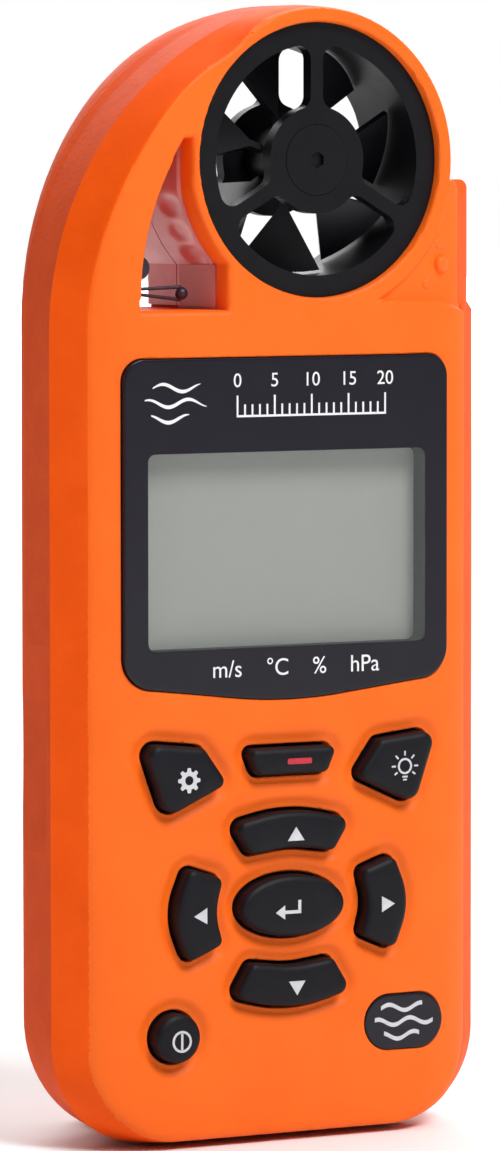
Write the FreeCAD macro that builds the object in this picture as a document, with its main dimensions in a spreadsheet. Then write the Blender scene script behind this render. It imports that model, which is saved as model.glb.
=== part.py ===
import FreeCAD, Part
import Sketcher
import os, math

# Handheld weather meter.  Upright, +Z along the body, the face looks to -Y.
# Local depth is measured from the plane of the display window (0) towards the back;
# every sub-part is then shifted forward by the cell depth_centre, so the finished
# object's box is centred on X and Y and stands on Z = 0.

V = FreeCAD.Vector
doc = FreeCAD.newDocument("WeatherMeter")
sheet = doc.addObject("Spreadsheet::Sheet", "Dim")

CELLS = [
    ("total_height", 127.0), ("depth_centre", 12.5), ("half_width", 27.2), ("crease_half_width", 24.15),
    ("crease_depth", 2.3), ("parting_depth", 5.5), ("side_depth", 11.5), ("back_depth", 18.0), ("bulge_depth", 26.5),
    ("wall", 2.0), ("front_skin", 2.1), ("corner_radius", 10.6), ("cavity_half_width", 22.5), ("cavity_bottom", 3.6),
    ("cavity_top", 91.0), ("head_line", 94.0), ("head_drop", 0.75), ("shoulder_height", 107.4),
    ("ring_x", 4.31), ("ring_z", 109.67), ("ring_outer", 15.3), ("ring_bore", 15.35), ("ring_inner", 12.9),
    ("lip_outer", 17.33), ("ring_front", 1.1), ("ring_split", 9.2), ("ring_back", 16.9), ("guard_thick", 1.7),
    ("hub_disc_radius", 6.0), ("spoke_width", 1.56), ("rear_disc_radius", 6.35), ("rear_spoke_width", 1.8), ("rear_plate", 11.3), ("cap_radius", 3.95), ("cap_pocket", 4.0),
    ("blade_tip", 12.6), ("rotor_hub", 4.0), ("rotor_front", 4.6), ("rotor_length", 6.2), ("shaft_radius", 0.5),
    ("jewel_bore", 0.55), ("jewel_radius", 1.3), ("blade_pitch", 30.3), ("blade_thick", 0.7), ("blade_count", 7),
    ("lens_half_width", 20.75), ("lens_top", 87.84), ("lens_bottom", 50.0), ("lens_thick", 1.2),
    ("view_half_width", 17.79), ("view_bottom", 55.44), ("view_top", 77.31),
    ("key_front", -1.5), ("key_gap", 0.3), ("key_flange", 0.8), ("flange_front", 2.4), ("flange_thick", 0.7),
    ("key_halo", 1.3), ("halo_depth", 0.55), ("membrane_front", 3.9), ("membrane_thick", 0.6),
    ("board_front", 5.3), ("board_thick", 1.2), ("board_half_width", 21.8), ("board_bottom", 5.0), ("board_top", 86.5),
    ("screw_radius", 0.95), ("screw_pilot", 1.0), ("screw_clear", 1.1), ("boss_radius", 2.0), ("screw_head", 1.9),
    ("counterbore", 2.1), ("cell_radius", 7.25), ("cell_axis_depth", 16.4), ("cell_bottom", 18.0), ("cell_length", 49.5),
    ("bay_half_width", 7.75), ("bay_bottom", 14.5), ("bay_top", 70.5), ("seat_depth", 23.5),
    ("door_half_width", 10.5), ("door_bottom", 7.0), ("door_inner", 24.1), ("hinge_depth", 24.9), ("hinge_z", 74.5),
    ("barrel_radius", 1.6), ("pin_radius", 0.6), ("barrel_bore", 0.66), ("bulge_half_width", 16.0),
    ("bulge_bottom", 0.0), ("bulge_top", 81.0), ("latch_z", 10.2), ("latch_radius", 3.2), ("latch_shaft", 1.5),
    ("latch_bore", 1.56), ("insert_z", 88.6), ("insert_radius", 4.0), ("insert_bore", 2.55), ("insert_length", 6.0),
    ("lanyard_depth", 19.2), ("lanyard_z", 4.4), ("lanyard_radius", 1.6), ("clear", 0.3),
]
for i, (alias, value) in enumerate(CELLS, 1):
    sheet.set("A%d" % i, alias)
    sheet.set("B%d" % i, str(value))
    sheet.setAlias("B%d" % i, alias)
doc.recompute()


def D(alias):
    return float(sheet.get(alias))


RX, RZ = D("ring_x"), D("ring_z")
NODES = []


# ---------------------------------------------------------------- helpers
def place(o):
    o.Placement = FreeCAD.Placement(V(0, -D("depth_centre"), 0), FreeCAD.Rotation())
    o.setExpression("Placement.Base.y", "-Dim.depth_centre")


def body(label):
    b = doc.addObject("PartDesign::Body", "B_" + label)
    b.Label = label
    place(b)
    NODES.append(b)
    return b


def origin_plane(b, role):
    return [f for f in b.Origin.OriginFeatures if f.Role == role][0]


def sketch(b, name, geo, off, role="XZ_Plane"):
    s = b.newObject("Sketcher::SketchObject", name)
    s.AttachmentSupport = [(origin_plane(b, role), "")]
    s.MapMode = "FlatFace"
    if isinstance(off, str):
        s.setExpression("AttachmentOffset.Base.z", off)
    else:
        s.AttachmentOffset = FreeCAD.Placement(V(0, 0, off), FreeCAD.Rotation())
    for g in geo:
        s.addGeometry(g, False)
    return s


def neg(e):
    return "-(%s)" % e if isinstance(e, str) else -e


def setlen(f, prop, e):
    if isinstance(e, str):
        f.setExpression(prop, e)
    else:
        setattr(f, prop, e)


def pad(b, name, geo, y0, length):
    """Boss from depth y0 towards the back."""
    s = sketch(b, name + "_sk", geo, neg(y0))
    p = b.newObject("PartDesign::Pad", name)
    p.Profile = s
    p.Reversed = True
    setlen(p, "Length", length)
    return p


def cut(b, name, geo, y0, length):
    """Pocket from depth y0 towards the back; it must remove material."""
    doc.recompute()
    before = b.Tip.Shape.Volume
    s = sketch(b, name + "_sk", geo, neg(y0))
    p = b.newObject("PartDesign::Pocket", name)
    p.Profile = s
    setlen(p, "Length", length)
    doc.recompute()
    if not b.Tip.Shape.Volume < before - 1e-6:
        raise RuntimeError("pocket %s cuts nothing" % name)
    return p


def drive_circle(s, x, z, r):
    """One circle whose centre and radius follow the sheet."""
    c = s.addGeometry(Part.Circle(V(0, 0, 0), V(0, 0, 1), 1.0), False)
    for kind, val, nm in (("DistanceX", x, "cx"), ("DistanceY", z, "cz")):
        k = s.addConstraint(Sketcher.Constraint(kind, -1, 1, c, 3, float(val) if not isinstance(val, str) else 1.0))
        s.renameConstraint(k, "%s%d" % (nm, c))
        if isinstance(val, str):
            s.setExpression("Constraints.%s%d" % (nm, c), val)
    k = s.addConstraint(Sketcher.Constraint("Radius", c, float(r) if not isinstance(r, str) else 1.0))
    s.renameConstraint(k, "r%d" % c)
    if isinstance(r, str):
        s.setExpression("Constraints.r%d" % c, r)


def circle_sketch(b, name, y0, circles):
    s = sketch(b, name + "_sk", [], neg(y0))
    for x, z, r in circles:
        drive_circle(s, x, z, r)
    return s


def pad_round(b, name, circles, y0, length):
    s = circle_sketch(b, name, y0, circles)
    p = b.newObject("PartDesign::Pad", name)
    p.Profile = s
    p.Reversed = True
    setlen(p, "Length", length)
    return p


def cut_round(b, name, circles, y0, length):
    doc.recompute()
    before = b.Tip.Shape.Volume
    s = circle_sketch(b, name, y0, circles)
    p = b.newObject("PartDesign::Pocket", name)
    p.Profile = s
    setlen(p, "Length", length)
    doc.recompute()
    if not b.Tip.Shape.Volume < before - 1e-6:
        raise RuntimeError("pocket %s cuts nothing" % name)
    return p


def edge_round(b, name, edges, r, kind="Fillet"):
    doc.recompute()
    f = b.newObject("PartDesign::" + kind, name)
    f.Base = (b.Tip if b.Tip != f else b.Group[-2], edges)
    if kind == "Fillet":
        f.Radius = r
    else:
        f.Size = r
    doc.recompute()
    return f


def L(a, b):
    return Part.LineSegment(V(a[0], a[1], 0), V(b[0], b[1], 0))


def A(a, m, b):
    return Part.Arc(V(a[0], a[1], 0), V(m[0], m[1], 0), V(b[0], b[1], 0))


def rect(x0, z0, x1, z1):
    return [L((x0, z0), (x1, z0)), L((x1, z0), (x1, z1)), L((x1, z1), (x0, z1)), L((x0, z1), (x0, z0))]


def offset_poly(P, d):
    """Offset a counter-clockwise polygon outwards by d."""
    n, out = len(P), []
    for i in range(n):
        a, b, c = P[i - 1], P[i], P[(i + 1) % n]
        l1, l2 = math.dist(a, b), math.dist(b, c)
        u1 = ((b[0] - a[0]) / l1, (b[1] - a[1]) / l1)
        u2 = ((c[0] - b[0]) / l2, (c[1] - b[1]) / l2)
        n1, n2 = (u1[1], -u1[0]), (u2[1], -u2[0])
        k = d / (1 + n1[0] * n2[0] + n1[1] * n2[1])
        out.append((b[0] + (n1[0] + n2[0]) * k, b[1] + (n1[1] + n2[1]) * k))
    return out


def rounded(P, R, d=0.0):
    """Lines and arcs of a counter-clockwise polygon with a radius at each corner, offset outwards by d."""
    Q = offset_poly(P, d) if d else list(P)
    n, arcs = len(Q), []
    for i in range(n):
        a, b, c = Q[i - 1], Q[i], Q[(i + 1) % n]
        l1, l2 = math.dist(a, b), math.dist(b, c)
        u1 = ((b[0] - a[0]) / l1, (b[1] - a[1]) / l1)
        u2 = ((c[0] - b[0]) / l2, (c[1] - b[1]) / l2)
        cr = u1[0] * u2[1] - u1[1] * u2[0]
        turn = math.atan2(cr, u1[0] * u2[0] + u1[1] * u2[1])
        r = max(0.15, R[i] + (d if turn > 0 else -d))
        t = r * math.tan(abs(turn) / 2)
        p, q = (b[0] - u1[0] * t, b[1] - u1[1] * t), (b[0] + u2[0] * t, b[1] + u2[1] * t)
        s = 1 if turn > 0 else -1
        cen = (p[0] - u1[1] * r * s, p[1] + u1[0] * r * s)
        k = math.dist(cen, b)
        m = (cen[0] + (b[0] - cen[0]) * r / k, cen[1] + (b[1] - cen[1]) * r / k)
        arcs.append((p, m, q))
    out = []
    for i in range(n):
        p, m, q = arcs[i]
        out.append(A(p, m, q))
        nx = arcs[(i + 1) % n][0]
        a, c = Q[i], Q[(i + 1) % n]
        if (nx[0] - q[0]) * (c[0] - a[0]) + (nx[1] - q[1]) * (c[1] - a[1]) < -1e-9:
            raise RuntimeError("corner radii overlap at %s" % (a,))
        if math.dist(q, nx) > 1e-6:
            out.append(L(q, nx))
    return out


def outline(hw, zb, rc, rr, zs=None, step=0.7, rs=1.0, cz=90.34, rl=None):
    """Closed body outline: foot, sides, right shoulder, circle about the impeller, long left arc."""
    zs = D("shoulder_height") if zs is None else zs
    rl = rc if rl is None else rl
    dd, e = RZ - cz, hw + RX
    big = (dd * dd + e * e - rr * rr) / (2 * (e - rr))
    cx = -hw + big
    ux, uz = (RX - cx) / (big - rr), (RZ - cz) / (big - rr)
    tp = (cx + ux * big, cz + uz * big)
    s2 = math.sqrt(0.5)
    xr = RX + math.sqrt(rr * rr - (RZ - zs) ** 2)
    a0, a1 = math.atan2(zs - RZ, xr - RX), math.atan2(tp[1] - RZ, tp[0] - RX)
    am = (a0 + a1) / 2
    b0, b1 = math.atan2(tp[1] - cz, tp[0] - cx), math.pi
    bm = (b0 + b1) / 2
    xh = hw - step
    return [
        L((-hw + rl, zb), (hw - rc, zb)),
        A((hw - rc, zb), (hw - rc + rc * s2, zb + rc - rc * s2), (hw, zb + rc)),
        L((hw, zb + rc), (hw, 92.6)),
        L((hw, 92.6), (xh, 93.6)),
        L((xh, 93.6), (xh, zs - rs)),
        A((xh, zs - rs), (xh - rs + rs * s2, zs - rs + rs * s2), (xh - rs, zs)),
        L((xh - rs, zs), (xr, zs)),
        A((xr, zs), (RX + rr * math.cos(am), RZ + rr * math.sin(am)), tp),
        A(tp, (cx + big * math.cos(bm), cz + big * math.sin(bm)), (-hw, cz)),
        L((-hw, cz), (-hw, zb + rl)),
        A((-hw, zb + rl), (-hw + rl - rl * s2, zb + rl - rl * s2), (-hw + rl, zb)),
    ]


def loft(b, name, sections):
    """Solid through outlines of one topology at growing depths."""
    sk = [sketch(b, "%s_s%d" % (name, i), g, neg(y)) for i, (y, g) in enumerate(sections)]
    f = b.newObject("PartDesign::AdditiveLoft", name)
    f.Profile = sk[0]
    f.Sections = sk[1:]
    f.Ruled = True
    return f


def feature(label, shape):
    """A sub-part whose solid comes straight from Part's functions, sized from the sheet."""
    o = doc.addObject("Part::Feature", "F_" + label)
    o.Label = label
    o.Shape = shape
    place(o)
    NODES.append(o)
    return o


def ycyl(x, z, r, y0, y1):
    return Part.makeCylinder(r, y1 - y0, V(x, y0, z), V(0, 1, 0))


def xcyl(y, z, r, x0, x1):
    return Part.makeCylinder(r, x1 - x0, V(x0, y, z), V(1, 0, 0))


def zcyl(x, y, r, z0, z1):
    return Part.makeCylinder(r, z1 - z0, V(x, y, z0), V(0, 0, 1))


def bx(x0, x1, y0, y1, z0, z1):
    return Part.makeBox(x1 - x0, y1 - y0, z1 - z0, V(x0, y0, z0))


def block(label, x0, x1, y0, y1, z0, z1):
    """Plain rectangular sub-part as a parametric box."""
    o = doc.addObject("Part::Box", "P_" + label)
    o.Label = label
    o.Length, o.Width, o.Height = x1 - x0, y1 - y0, z1 - z0
    o.Placement = FreeCAD.Placement(V(x0, y0 - D("depth_centre"), z0), FreeCAD.Rotation())
    o.setExpression("Placement.Base.y", "%.4f - Dim.depth_centre" % y0)
    NODES.append(o)
    return o


# ---------------------------------------------------------------- shared outlines
PART = outline(D("half_width"), 0.0, D("corner_radius"), D("lip_outer"), rl=D("corner_radius") + 1.3)
# the side walls draw in a little at the lower corners towards the back
SIDE = outline(D("half_width"), 0.0, 13.2, D("lip_outer"), rl=14.0)
CREASE = outline(D("crease_half_width"), 0.6, 10.25, 17.05)
# the back edge is rolled: pairs of depth and inset, from the side wall round to the flat back
ROLL = [(12.3, 0.10), (13.2, 0.55), (14.2, 1.25), (15.2, 2.15), (16.2, 3.25), (17.1, 4.35), (17.7, 5.25), (18.0, 6.1)]


def roll_outline(ins):
    k = ins / 6.1
    # the long arc stays close to the side wall near the top and draws in towards the lower sides
    return outline(D("half_width") - ins, 0.0 + 3.6 * k, 13.2 - 3.3 * k, D("lip_outer") - 0.75 * k * k - 0.1 * k,
                   zs=D("shoulder_height") - 2.4 * k, rs=1.0 - 0.1 * k, cz=90.34 + 9.66 * k ** 0.7, rl=14.0 - 3.3 * k)



KEYS = {
    "key_settings": ([(-18.8, 45.4), (-15.9, 37.1), (-8.3, 40.5), (-11.3, 44.6)], [1.3, 1.5, 0.9, 1.0]),
    "key_backlight": ([(18.8, 45.4), (11.3, 44.6), (8.3, 40.5), (15.9, 37.1)], [1.3, 1.0, 0.9, 1.5]),
    "key_capture": ([(-4.45, 41.2), (4.45, 41.2), (5.75, 44.2), (-5.75, 44.2)], [0.9, 0.9, 0.7, 0.7]),
    "key_up": ([(-5.3, 32.35), (0.0, 33.05), (5.3, 32.35), (7.6, 35.9), (0.0, 37.45), (-7.6, 35.9)],
               [0.9, 14.0, 0.9, 1.1, 20.0, 1.1]),
    "key_down": ([(-7.6, 16.45), (0.0, 14.5), (7.6, 16.45), (5.2, 20.25), (0.0, 19.6), (-5.2, 20.25)],
                 [1.1, 18.0, 1.1, 0.9, 14.0, 0.9]),
    "key_left": ([(-13.2, 31.35), (-15.35, 26.1), (-13.2, 20.75), (-8.9, 22.6), (-9.9, 26.2), (-8.9, 29.9)],
                 [1.0, 7.5, 1.0, 0.8, 6.5, 0.8]),
    "key_right": ([(13.2, 31.35), (8.9, 29.9), (9.9, 26.2), (8.9, 22.6), (13.2, 20.75), (15.35, 26.1)],
                  [1.0, 0.8, 6.5, 0.8, 1.0, 7.5]),
}
ENTER = (0.0, 26.4, 6.6, 3.45)
POWER = (-14.6, 12.4, 2.75)
BADGE = (15.0, 12.3, 10.2, 6.35)


def ellipse(d):
    x, z, a, b_ = ENTER
    return [Part.Ellipse(V(x, z, 0), a + d, b_ + d)]


def stadium(d):
    x, z, w, h = BADGE
    r, e = h / 2 + d, w / 2 - h / 2
    return [L((x - e, z - r), (x + e, z - r)), A((x + e, z - r), (x + e + r, z), (x + e, z + r)),
            L((x + e, z + r), (x - e, z + r)), A((x - e, z + r), (x - e - r, z), (x - e, z - r))]


def lens_line(d):
    w, t_, b_ = D("lens_half_width"), D("lens_top"), D("lens_bottom")
    P = [(-w, 51.55), (0.0, b_ - 0.9), (w, 51.55), (w, t_), (-w, t_)]
    return rounded(P, [3.6, 60.0, 3.6, 2.5, 2.5], d)


def window_line(d):
    """Sensor window: an outer arc that follows the shoulder and an inner one that keeps an even wall round the impeller bore."""
    rx, rz = D("ring_x"), D("ring_z")
    r = 16.6 - d
    x1, x2 = -12.0 + d, -7.65 + d
    z1, z2 = rz - math.sqrt(r * r - (x1 - rx) ** 2), rz - math.sqrt(r * r - (x2 - rx) ** 2)
    am = (math.atan2(z1 - rz, x1 - rx) + math.atan2(z2 - rz, x2 - rx)) / 2
    top, foot = 112.1 + 1.3 * d, 93.1 - d
    a, m1, b_ = (-18.3 - d, foot), (-17.0 - d, 103.5), (-12.85 - 0.5 * d, top)
    return [A(a, m1, b_), L(b_, (x1, top)), L((x1, top), (x1, z1)), A((x1, z1), (rx + r * math.cos(am), rz + r * math.sin(am)), (x2, z2)),
            L((x2, z2), (x2, foot)), L((x2, foot), a)]


SCREWS = [(-18.8, 22.0), (18.8, 22.0), (-18.8, 49.6), (18.8, 49.6), (-19.0, 88.45), (19.0, 88.45)]

# ---------------------------------------------------------------- front case
b = body("front_case")
loft(b, "Bevel", [("Dim.crease_depth", CREASE), ("Dim.parting_depth", PART)])
pad(b, "Face", CREASE, -0.15, "Dim.crease_depth + 0.15")
doc.recompute()


def crown(drop, z0, z1, name, x0=-29.0):
    """Remove everything ahead of the crowned face: flat in the middle, rolling off to the sides."""
    hw = 29.0
    doc.recompute()
    before = b.Tip.Shape.Volume
    pts = []
    for i in range(29):
        x = x0 + (hw - x0) * i / 28.0
        pts.append(V(x, 2.3 * (abs(x) / 24.15) ** 8 * 0.92 + drop if abs(x) < 24.6 else 2.5 + drop + (abs(x) - 24.6) * 0.9, 0))
    c = Part.BSplineCurve()
    c.interpolate(pts)
    p0, p1 = pts[0], pts[-1]
    geo = [c, L((p1.x, p1.y), (p1.x, -4.0)), L((p1.x, -4.0), (p0.x, -4.0)), L((p0.x, -4.0), (p0.x, p0.y))]
    s = sketch(b, name + "_sk", geo, z1, role="XY_Plane")
    p = b.newObject("PartDesign::Pocket", name)
    p.Profile = s
    p.Length = z1 - z0
    doc.recompute()
    if not b.Tip.Shape.Volume < before - 1e-6:
        raise RuntimeError("crown cuts nothing")


crown(0.0, -5.0, 130.0, "CrownMain")
crown(D("head_drop"), D("head_line"), 130.0, "CrownHead", 2.0)
pad_round(b, "Lip", [("Dim.ring_x", "Dim.ring_z", 17.2)], 0.15, "Dim.parting_depth - 0.15")
cut_round(b, "RingBore", [("Dim.ring_x", "Dim.ring_z", "Dim.ring_bore")], -1.0, 12.0)
# cavity, with a seat for the seal
cav = rounded([(-22.5, 3.6), (22.5, 3.6), (22.5, 91.0), (-22.5, 91.0)], [8.0, 8.0, 2.0, 2.0])
cut(b, "Cavity", cav, "Dim.front_skin", 6.0)
cut(b, "SensorWindow", window_line(0.0), -1.0, 12.0)
cut(b, "LensSeat", lens_line(0.05), -1.0, "Dim.lens_thick + 1.0")
cut(b, "LensOpening", rounded([(-18.6, 54.6), (18.6, 54.6), (18.6, 78.1), (-18.6, 78.1)], [0.6] * 4), -1.0, 6.0)
for nm, (P, R) in KEYS.items():
    cut(b, "Halo_" + nm, rounded(P, R, D("key_halo")), -1.0, "1.0 + Dim.halo_depth")
    cut(b, "Hole_" + nm, rounded(P, R, D("key_gap")), -1.0, 6.0)
cut(b, "Halo_enter", ellipse(D("key_halo")), -1.0, "1.0 + Dim.halo_depth")
cut(b, "Hole_enter", ellipse(D("key_gap")), -1.0, 6.0)
cut_round(b, "Halo_power", [(POWER[0], POWER[1], POWER[2] + 1.3)], -1.0, "1.0 + Dim.halo_depth")
cut_round(b, "Hole_power", [(POWER[0], POWER[1], POWER[2] + 0.3)], -1.0, 6.0)
cut(b, "BadgeSeat", stadium(0.05), -1.0, 1.7)
pad_round(b, "Bosses", [(x, z, "Dim.boss_radius") for x, z in SCREWS], "Dim.front_skin - 0.3", 6.2)
cut_round(b, "Pilots", [(x, z, "Dim.screw_pilot") for x, z in SCREWS], 2.9, 8.0)
pad_round(b, "Dome", [(20.6, 97.9, 0.9)], 0.15, 2.2)
FRONT = b

# ---------------------------------------------------------------- rear case
b = body("rear_case")
loft(b, "Shoulder", [("Dim.parting_depth", PART), ("Dim.side_depth", SIDE)] + [(y, roll_outline(o)) for y, o in ROLL])
doc.recompute()
wb = D("bulge_half_width")
wz0, wz1 = D("bulge_bottom"), D("bulge_top")
bul = [rounded([(-wb + o, wz0 + o * 0.8), (wb - o, wz0 + o * 0.8), (wb - o, wz1 - o), (-wb + o, wz1 - o)], [6.0 - o * 0.5] * 4)
       for o in (0.0, 0.35, 0.9, 1.6, 2.5)]
# foot and top of the bulge sit on the back; its rim is rolled in steps
loft(b, "Bulge", [(14.6, bul[0]), (24.0, bul[0]), (24.9, bul[1]), (25.6, bul[2]), (26.15, bul[3]), ("Dim.bulge_depth", bul[4])])
doc.recompute()
# finger waist on both sides
for sx, nm in ((-1, "WaistLeft"), (1, "WaistRight")):
    e = 27.2 * sx
    seg = [A((e, 33.0), (e - 0.85 * sx, 44.5), (e, 56.0)), L((e, 56.0), (e + 3 * sx, 56.0)),
           L((e + 3 * sx, 56.0), (e + 3 * sx, 33.0)), L((e + 3 * sx, 33.0), (e, 33.0))]
    cut(b, nm, seg, 6.6, 20.0)
cav2 = rounded([(-22.5, 3.6), (22.5, 3.6), (22.5, 91.0), (-22.5, 91.0)], [8.0, 8.0, 2.0, 2.0])
cut(b, "Cavity", cav2, 5.0, 9.2)
cav3 = rounded([(-20.3, 5.2), (20.3, 5.2), (20.3, 91.0), (-20.3, 91.0)], [6.5, 6.5, 1.5, 1.5])
cut(b, "CavityBack", cav3, 13.0, "Dim.back_depth - Dim.wall - 13.0")
cut_round(b, "RingBore", [("Dim.ring_x", "Dim.ring_z", "Dim.ring_bore")], 4.0, 20.0)
cut(b, "SensorWindow", window_line(0.0), 4.0, 20.0)
pad_round(b, "Bosses", [(x, z, "Dim.boss_radius") for x, z in SCREWS], 8.1, 8.2)
pad_round(b, "InsertBoss", [(0.0, "Dim.insert_z", 5.4)], 9.5, 7.0)
cut_round(b, "InsertSeat", [(0.0, "Dim.insert_z", "Dim.insert_radius")], 11.5, 10.0)
cut_round(b, "ScrewClear", [(x, z, "Dim.screw_clear") for x, z in SCREWS], 7.0, 14.0)
cut_round(b, "ScrewHeads", [(x, z, "Dim.counterbore") for x, z in SCREWS], 15.9, 6.0)
cut(b, "Bay", rect(-D("bay_half_width"), D("bay_bottom"), D("bay_half_width"), D("bay_top")), 14.0, 14.0)
cut(b, "DoorSeat", rounded([(-10.8, 6.7), (10.8, 6.7), (10.8, 76.6), (-10.8, 76.6)], [1.8, 1.8, 0.2, 0.2]), "Dim.seat_depth", 6.0)
cut(b, "HingeTrough", rect(-10.8, 72.6, 10.8, 76.6), 22.9, 6.0)
cut(b, "LatchPocket", rect(-2.3, 5.2, 5.2, 12.3), 21.4, 3.0)
# hinge-pin holes and lanyard eyelet run across the bulge
for nm, y, z, r, half in (("PinBore", "hinge_depth", "hinge_z", 0.62, 12.6), ("Eyelet", "lanyard_depth", "lanyard_z", D("lanyard_radius"), 20.0)):
    doc.recompute()
    v0 = b.Tip.Shape.Volume
    s = sketch(b, nm + "_sk", [], -half, role="YZ_Plane")
    drive_circle(s, "Dim." + y, "Dim." + z, r)
    p = b.newObject("PartDesign::Pocket", nm)
    p.Profile = s
    p.Reversed = True
    p.Length = 2 * half
    doc.recompute()
    if not b.Tip.Shape.Volume < v0 - 1e-6:
        raise RuntimeError(nm + " cuts nothing")
cut_round(b, "RingMouth", [("Dim.ring_x", "Dim.ring_z", 16.1)], 17.4, 3.0)
cut(b, "PickupPocket", rect(-6.6, 93.4, -4.2, 95.2), 4.5, 3.6)
REAR = b

# ---------------------------------------------------------------- case seal (lies inside the cavity rim)
b = body("case_seal")
pad(b, "Ring", rounded([(-22.45, 3.65), (22.45, 3.65), (22.45, 90.95), (-22.45, 90.95)], [7.95, 7.95, 1.95, 1.95]), 4.9, 1.2)
cut(b, "Inside", rounded([(-22.0, 4.1), (22.0, 4.1), (22.0, 90.5), (-22.0, 90.5)], [7.5, 7.5, 1.5, 1.5]), 4.0, 3.0)

# ---------------------------------------------------------------- display stack
b = body("display_lens")
pad(b, "Lens", lens_line(-0.05), 0.0, "Dim.lens_thick - 0.02")
b = body("lens_gasket")
pad(b, "Ring", rounded([(-19.7, 53.5), (19.7, 53.5), (19.7, 79.2), (-19.7, 79.2)], [1.0] * 4), 2.12, 0.5)
cut(b, "Inside", rounded([(-18.4, 54.8), (18.4, 54.8), (18.4, 77.9), (-18.4, 77.9)], [0.6] * 4), 1.0, 3.0)
block("lcd_panel", -19.2, 19.2, 2.64, 3.9, 53.9, 79.6)
b = body("lcd_frame")
pad(b, "Rim", rounded([(-20.6, 52.4), (20.6, 52.4), (20.6, 81.2), (-20.6, 81.2)], [1.0] * 4), 2.7, 2.5)
cut(b, "Inside", rect(-19.25, 53.85, 19.25, 79.65), 2.0, 5.0)
block("backlight_panel", -19.1, 19.1, 3.92, 5.0, 54.0, 79.5)
block("display_flex", -7.0, 7.0, 4.4, 4.6, 47.6, 52.35)

# ---------------------------------------------------------------- electronics
b = body("main_board")
pad(b, "Board", rounded([(-21.8, 5.0), (21.8, 5.0), (21.8, 86.3), (-21.8, 86.3)], [7.5, 7.5, 1.5, 1.5]), "Dim.board_front", "Dim.board_thick")
cut_round(b, "BossHoles", [(x, z, 2.25) for x, z in SCREWS[:4]], 4.0, 6.0)


def group(label, solids):
    feature(label, Part.makeCompound(solids))


group("board_chips", [bx(-16.5, -11.0, 6.5, 7.6, 56, 61.5), bx(11.5, 17.5, 6.5, 7.5, 60, 66), bx(11.8, 15.4, 6.5, 7.3, 72, 76),
                      bx(-17.0, -12.6, 6.5, 7.4, 70, 73), bx(-16.4, -12.2, 6.5, 7.4, 33, 38)])
block("radio_module", 10.8, 19.0, 6.5, 8.3, 33.0, 45.0)
feature("pressure_sensor", bx(-3.5, -0.5, 6.5, 7.3, 78, 81).fuse(ycyl(-2.0, 79.5, 0.9, 7.3, 8.0)))
block("compass_sensor", 4.0, 6.6, 6.5, 7.4, 78.0, 80.6)
feature("beeper", ycyl(-16.0, 80.0, 4.0, 6.5, 9.4).cut(ycyl(-16.0, 80.0, 0.7, 8.9, 10)))
b = body("keypad_membrane")
pad(b, "Sheet", rounded([(-20.2, 8.0), (20.2, 8.0), (20.2, 47.4), (-20.2, 47.4)], [3.0] * 4), "Dim.membrane_front", "Dim.membrane_thick")
cut_round(b, "BossHoles", [(x, z, 2.25) for x, z in SCREWS[:2]] + [(0.0, 9.6, 0.8)], 3.0, 4.0)
DOMES = [(-13.6, 41.6), (13.6, 41.6), (0, 42.7), (0, 34.9), (0, 17.4), (-12.1, 26.2), (12.1, 26.2), (0, 26.4), (-14.6, 12.4)]
group("switch_domes", [Part.makeCone(1.5, 2.3, 0.7, V(x, 4.55, z), V(0, 1, 0)) for x, z in DOMES])
group("board_screws", [ycyl(x, z, 1.5, 6.52, 7.4).fuse(ycyl(x, z, 0.75, 4.7, 6.52)) for x, z in ((-20.0, 84.2), (20.0, 84.2), (0.0, 49.5))])

# the board is held on three small posts of its own
bd = [n for n in NODES if n.Label == "main_board"][0]
cut_round(bd, "PostHoles", [(-20.0, 84.2, 0.8), (20.0, 84.2, 0.8), (0.0, 49.5, 0.8)], 4.0, 6.0)

# ---------------------------------------------------------------- badge inlay
b = body("badge_inlay")
pad(b, "Plate", stadium(-0.05), 0.02, 0.66)

# ---------------------------------------------------------------- keys
fr = D("key_front")


def key(label, top, flange):
    kb = body(label)
    pad(kb, "Cap", top, "Dim.key_front", "Dim.flange_front - Dim.key_front + 0.1")
    pad(kb, "Flange", flange, "Dim.flange_front", "Dim.flange_thick")
    doc.recompute()
    sh = kb.Tip.Shape
    front = [f for f in sh.Faces if abs(f.BoundBox.YMin - fr) < 1e-4 and abs(f.BoundBox.YMax - fr) < 1e-4][0]
    names = []
    for e in front.Edges:
        for i, g in enumerate(sh.Edges, 1):
            if g.isSame(e):
                names.append("Edge%d" % i)
    f = kb.newObject("PartDesign::Fillet", "Soft")
    f.Base = (kb.Group[-2], names)
    for r in (0.55, 0.45, 0.35, 0.25):
        f.Radius = r
        doc.recompute()
        if f.isValid() and not f.Shape.isNull():
            break
    else:
        raise RuntimeError("key fillet " + label)
    print(label, "edge radius", r)


for nm, (P, R) in KEYS.items():
    key(nm, rounded(P, R), rounded(P, R, D("key_flange")))
key("key_enter", ellipse(0.0), ellipse(D("key_flange")))
key("key_power", [Part.Circle(V(POWER[0], POWER[1], 0), V(0, 0, 1), POWER[2])],
    [Part.Circle(V(POWER[0], POWER[1], 0), V(0, 0, 1), POWER[2] + 0.8)])

# ---------------------------------------------------------------- impeller cartridge
R0, R1 = D("ring_outer"), D("ring_inner")
gt = D("guard_thick")


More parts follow.
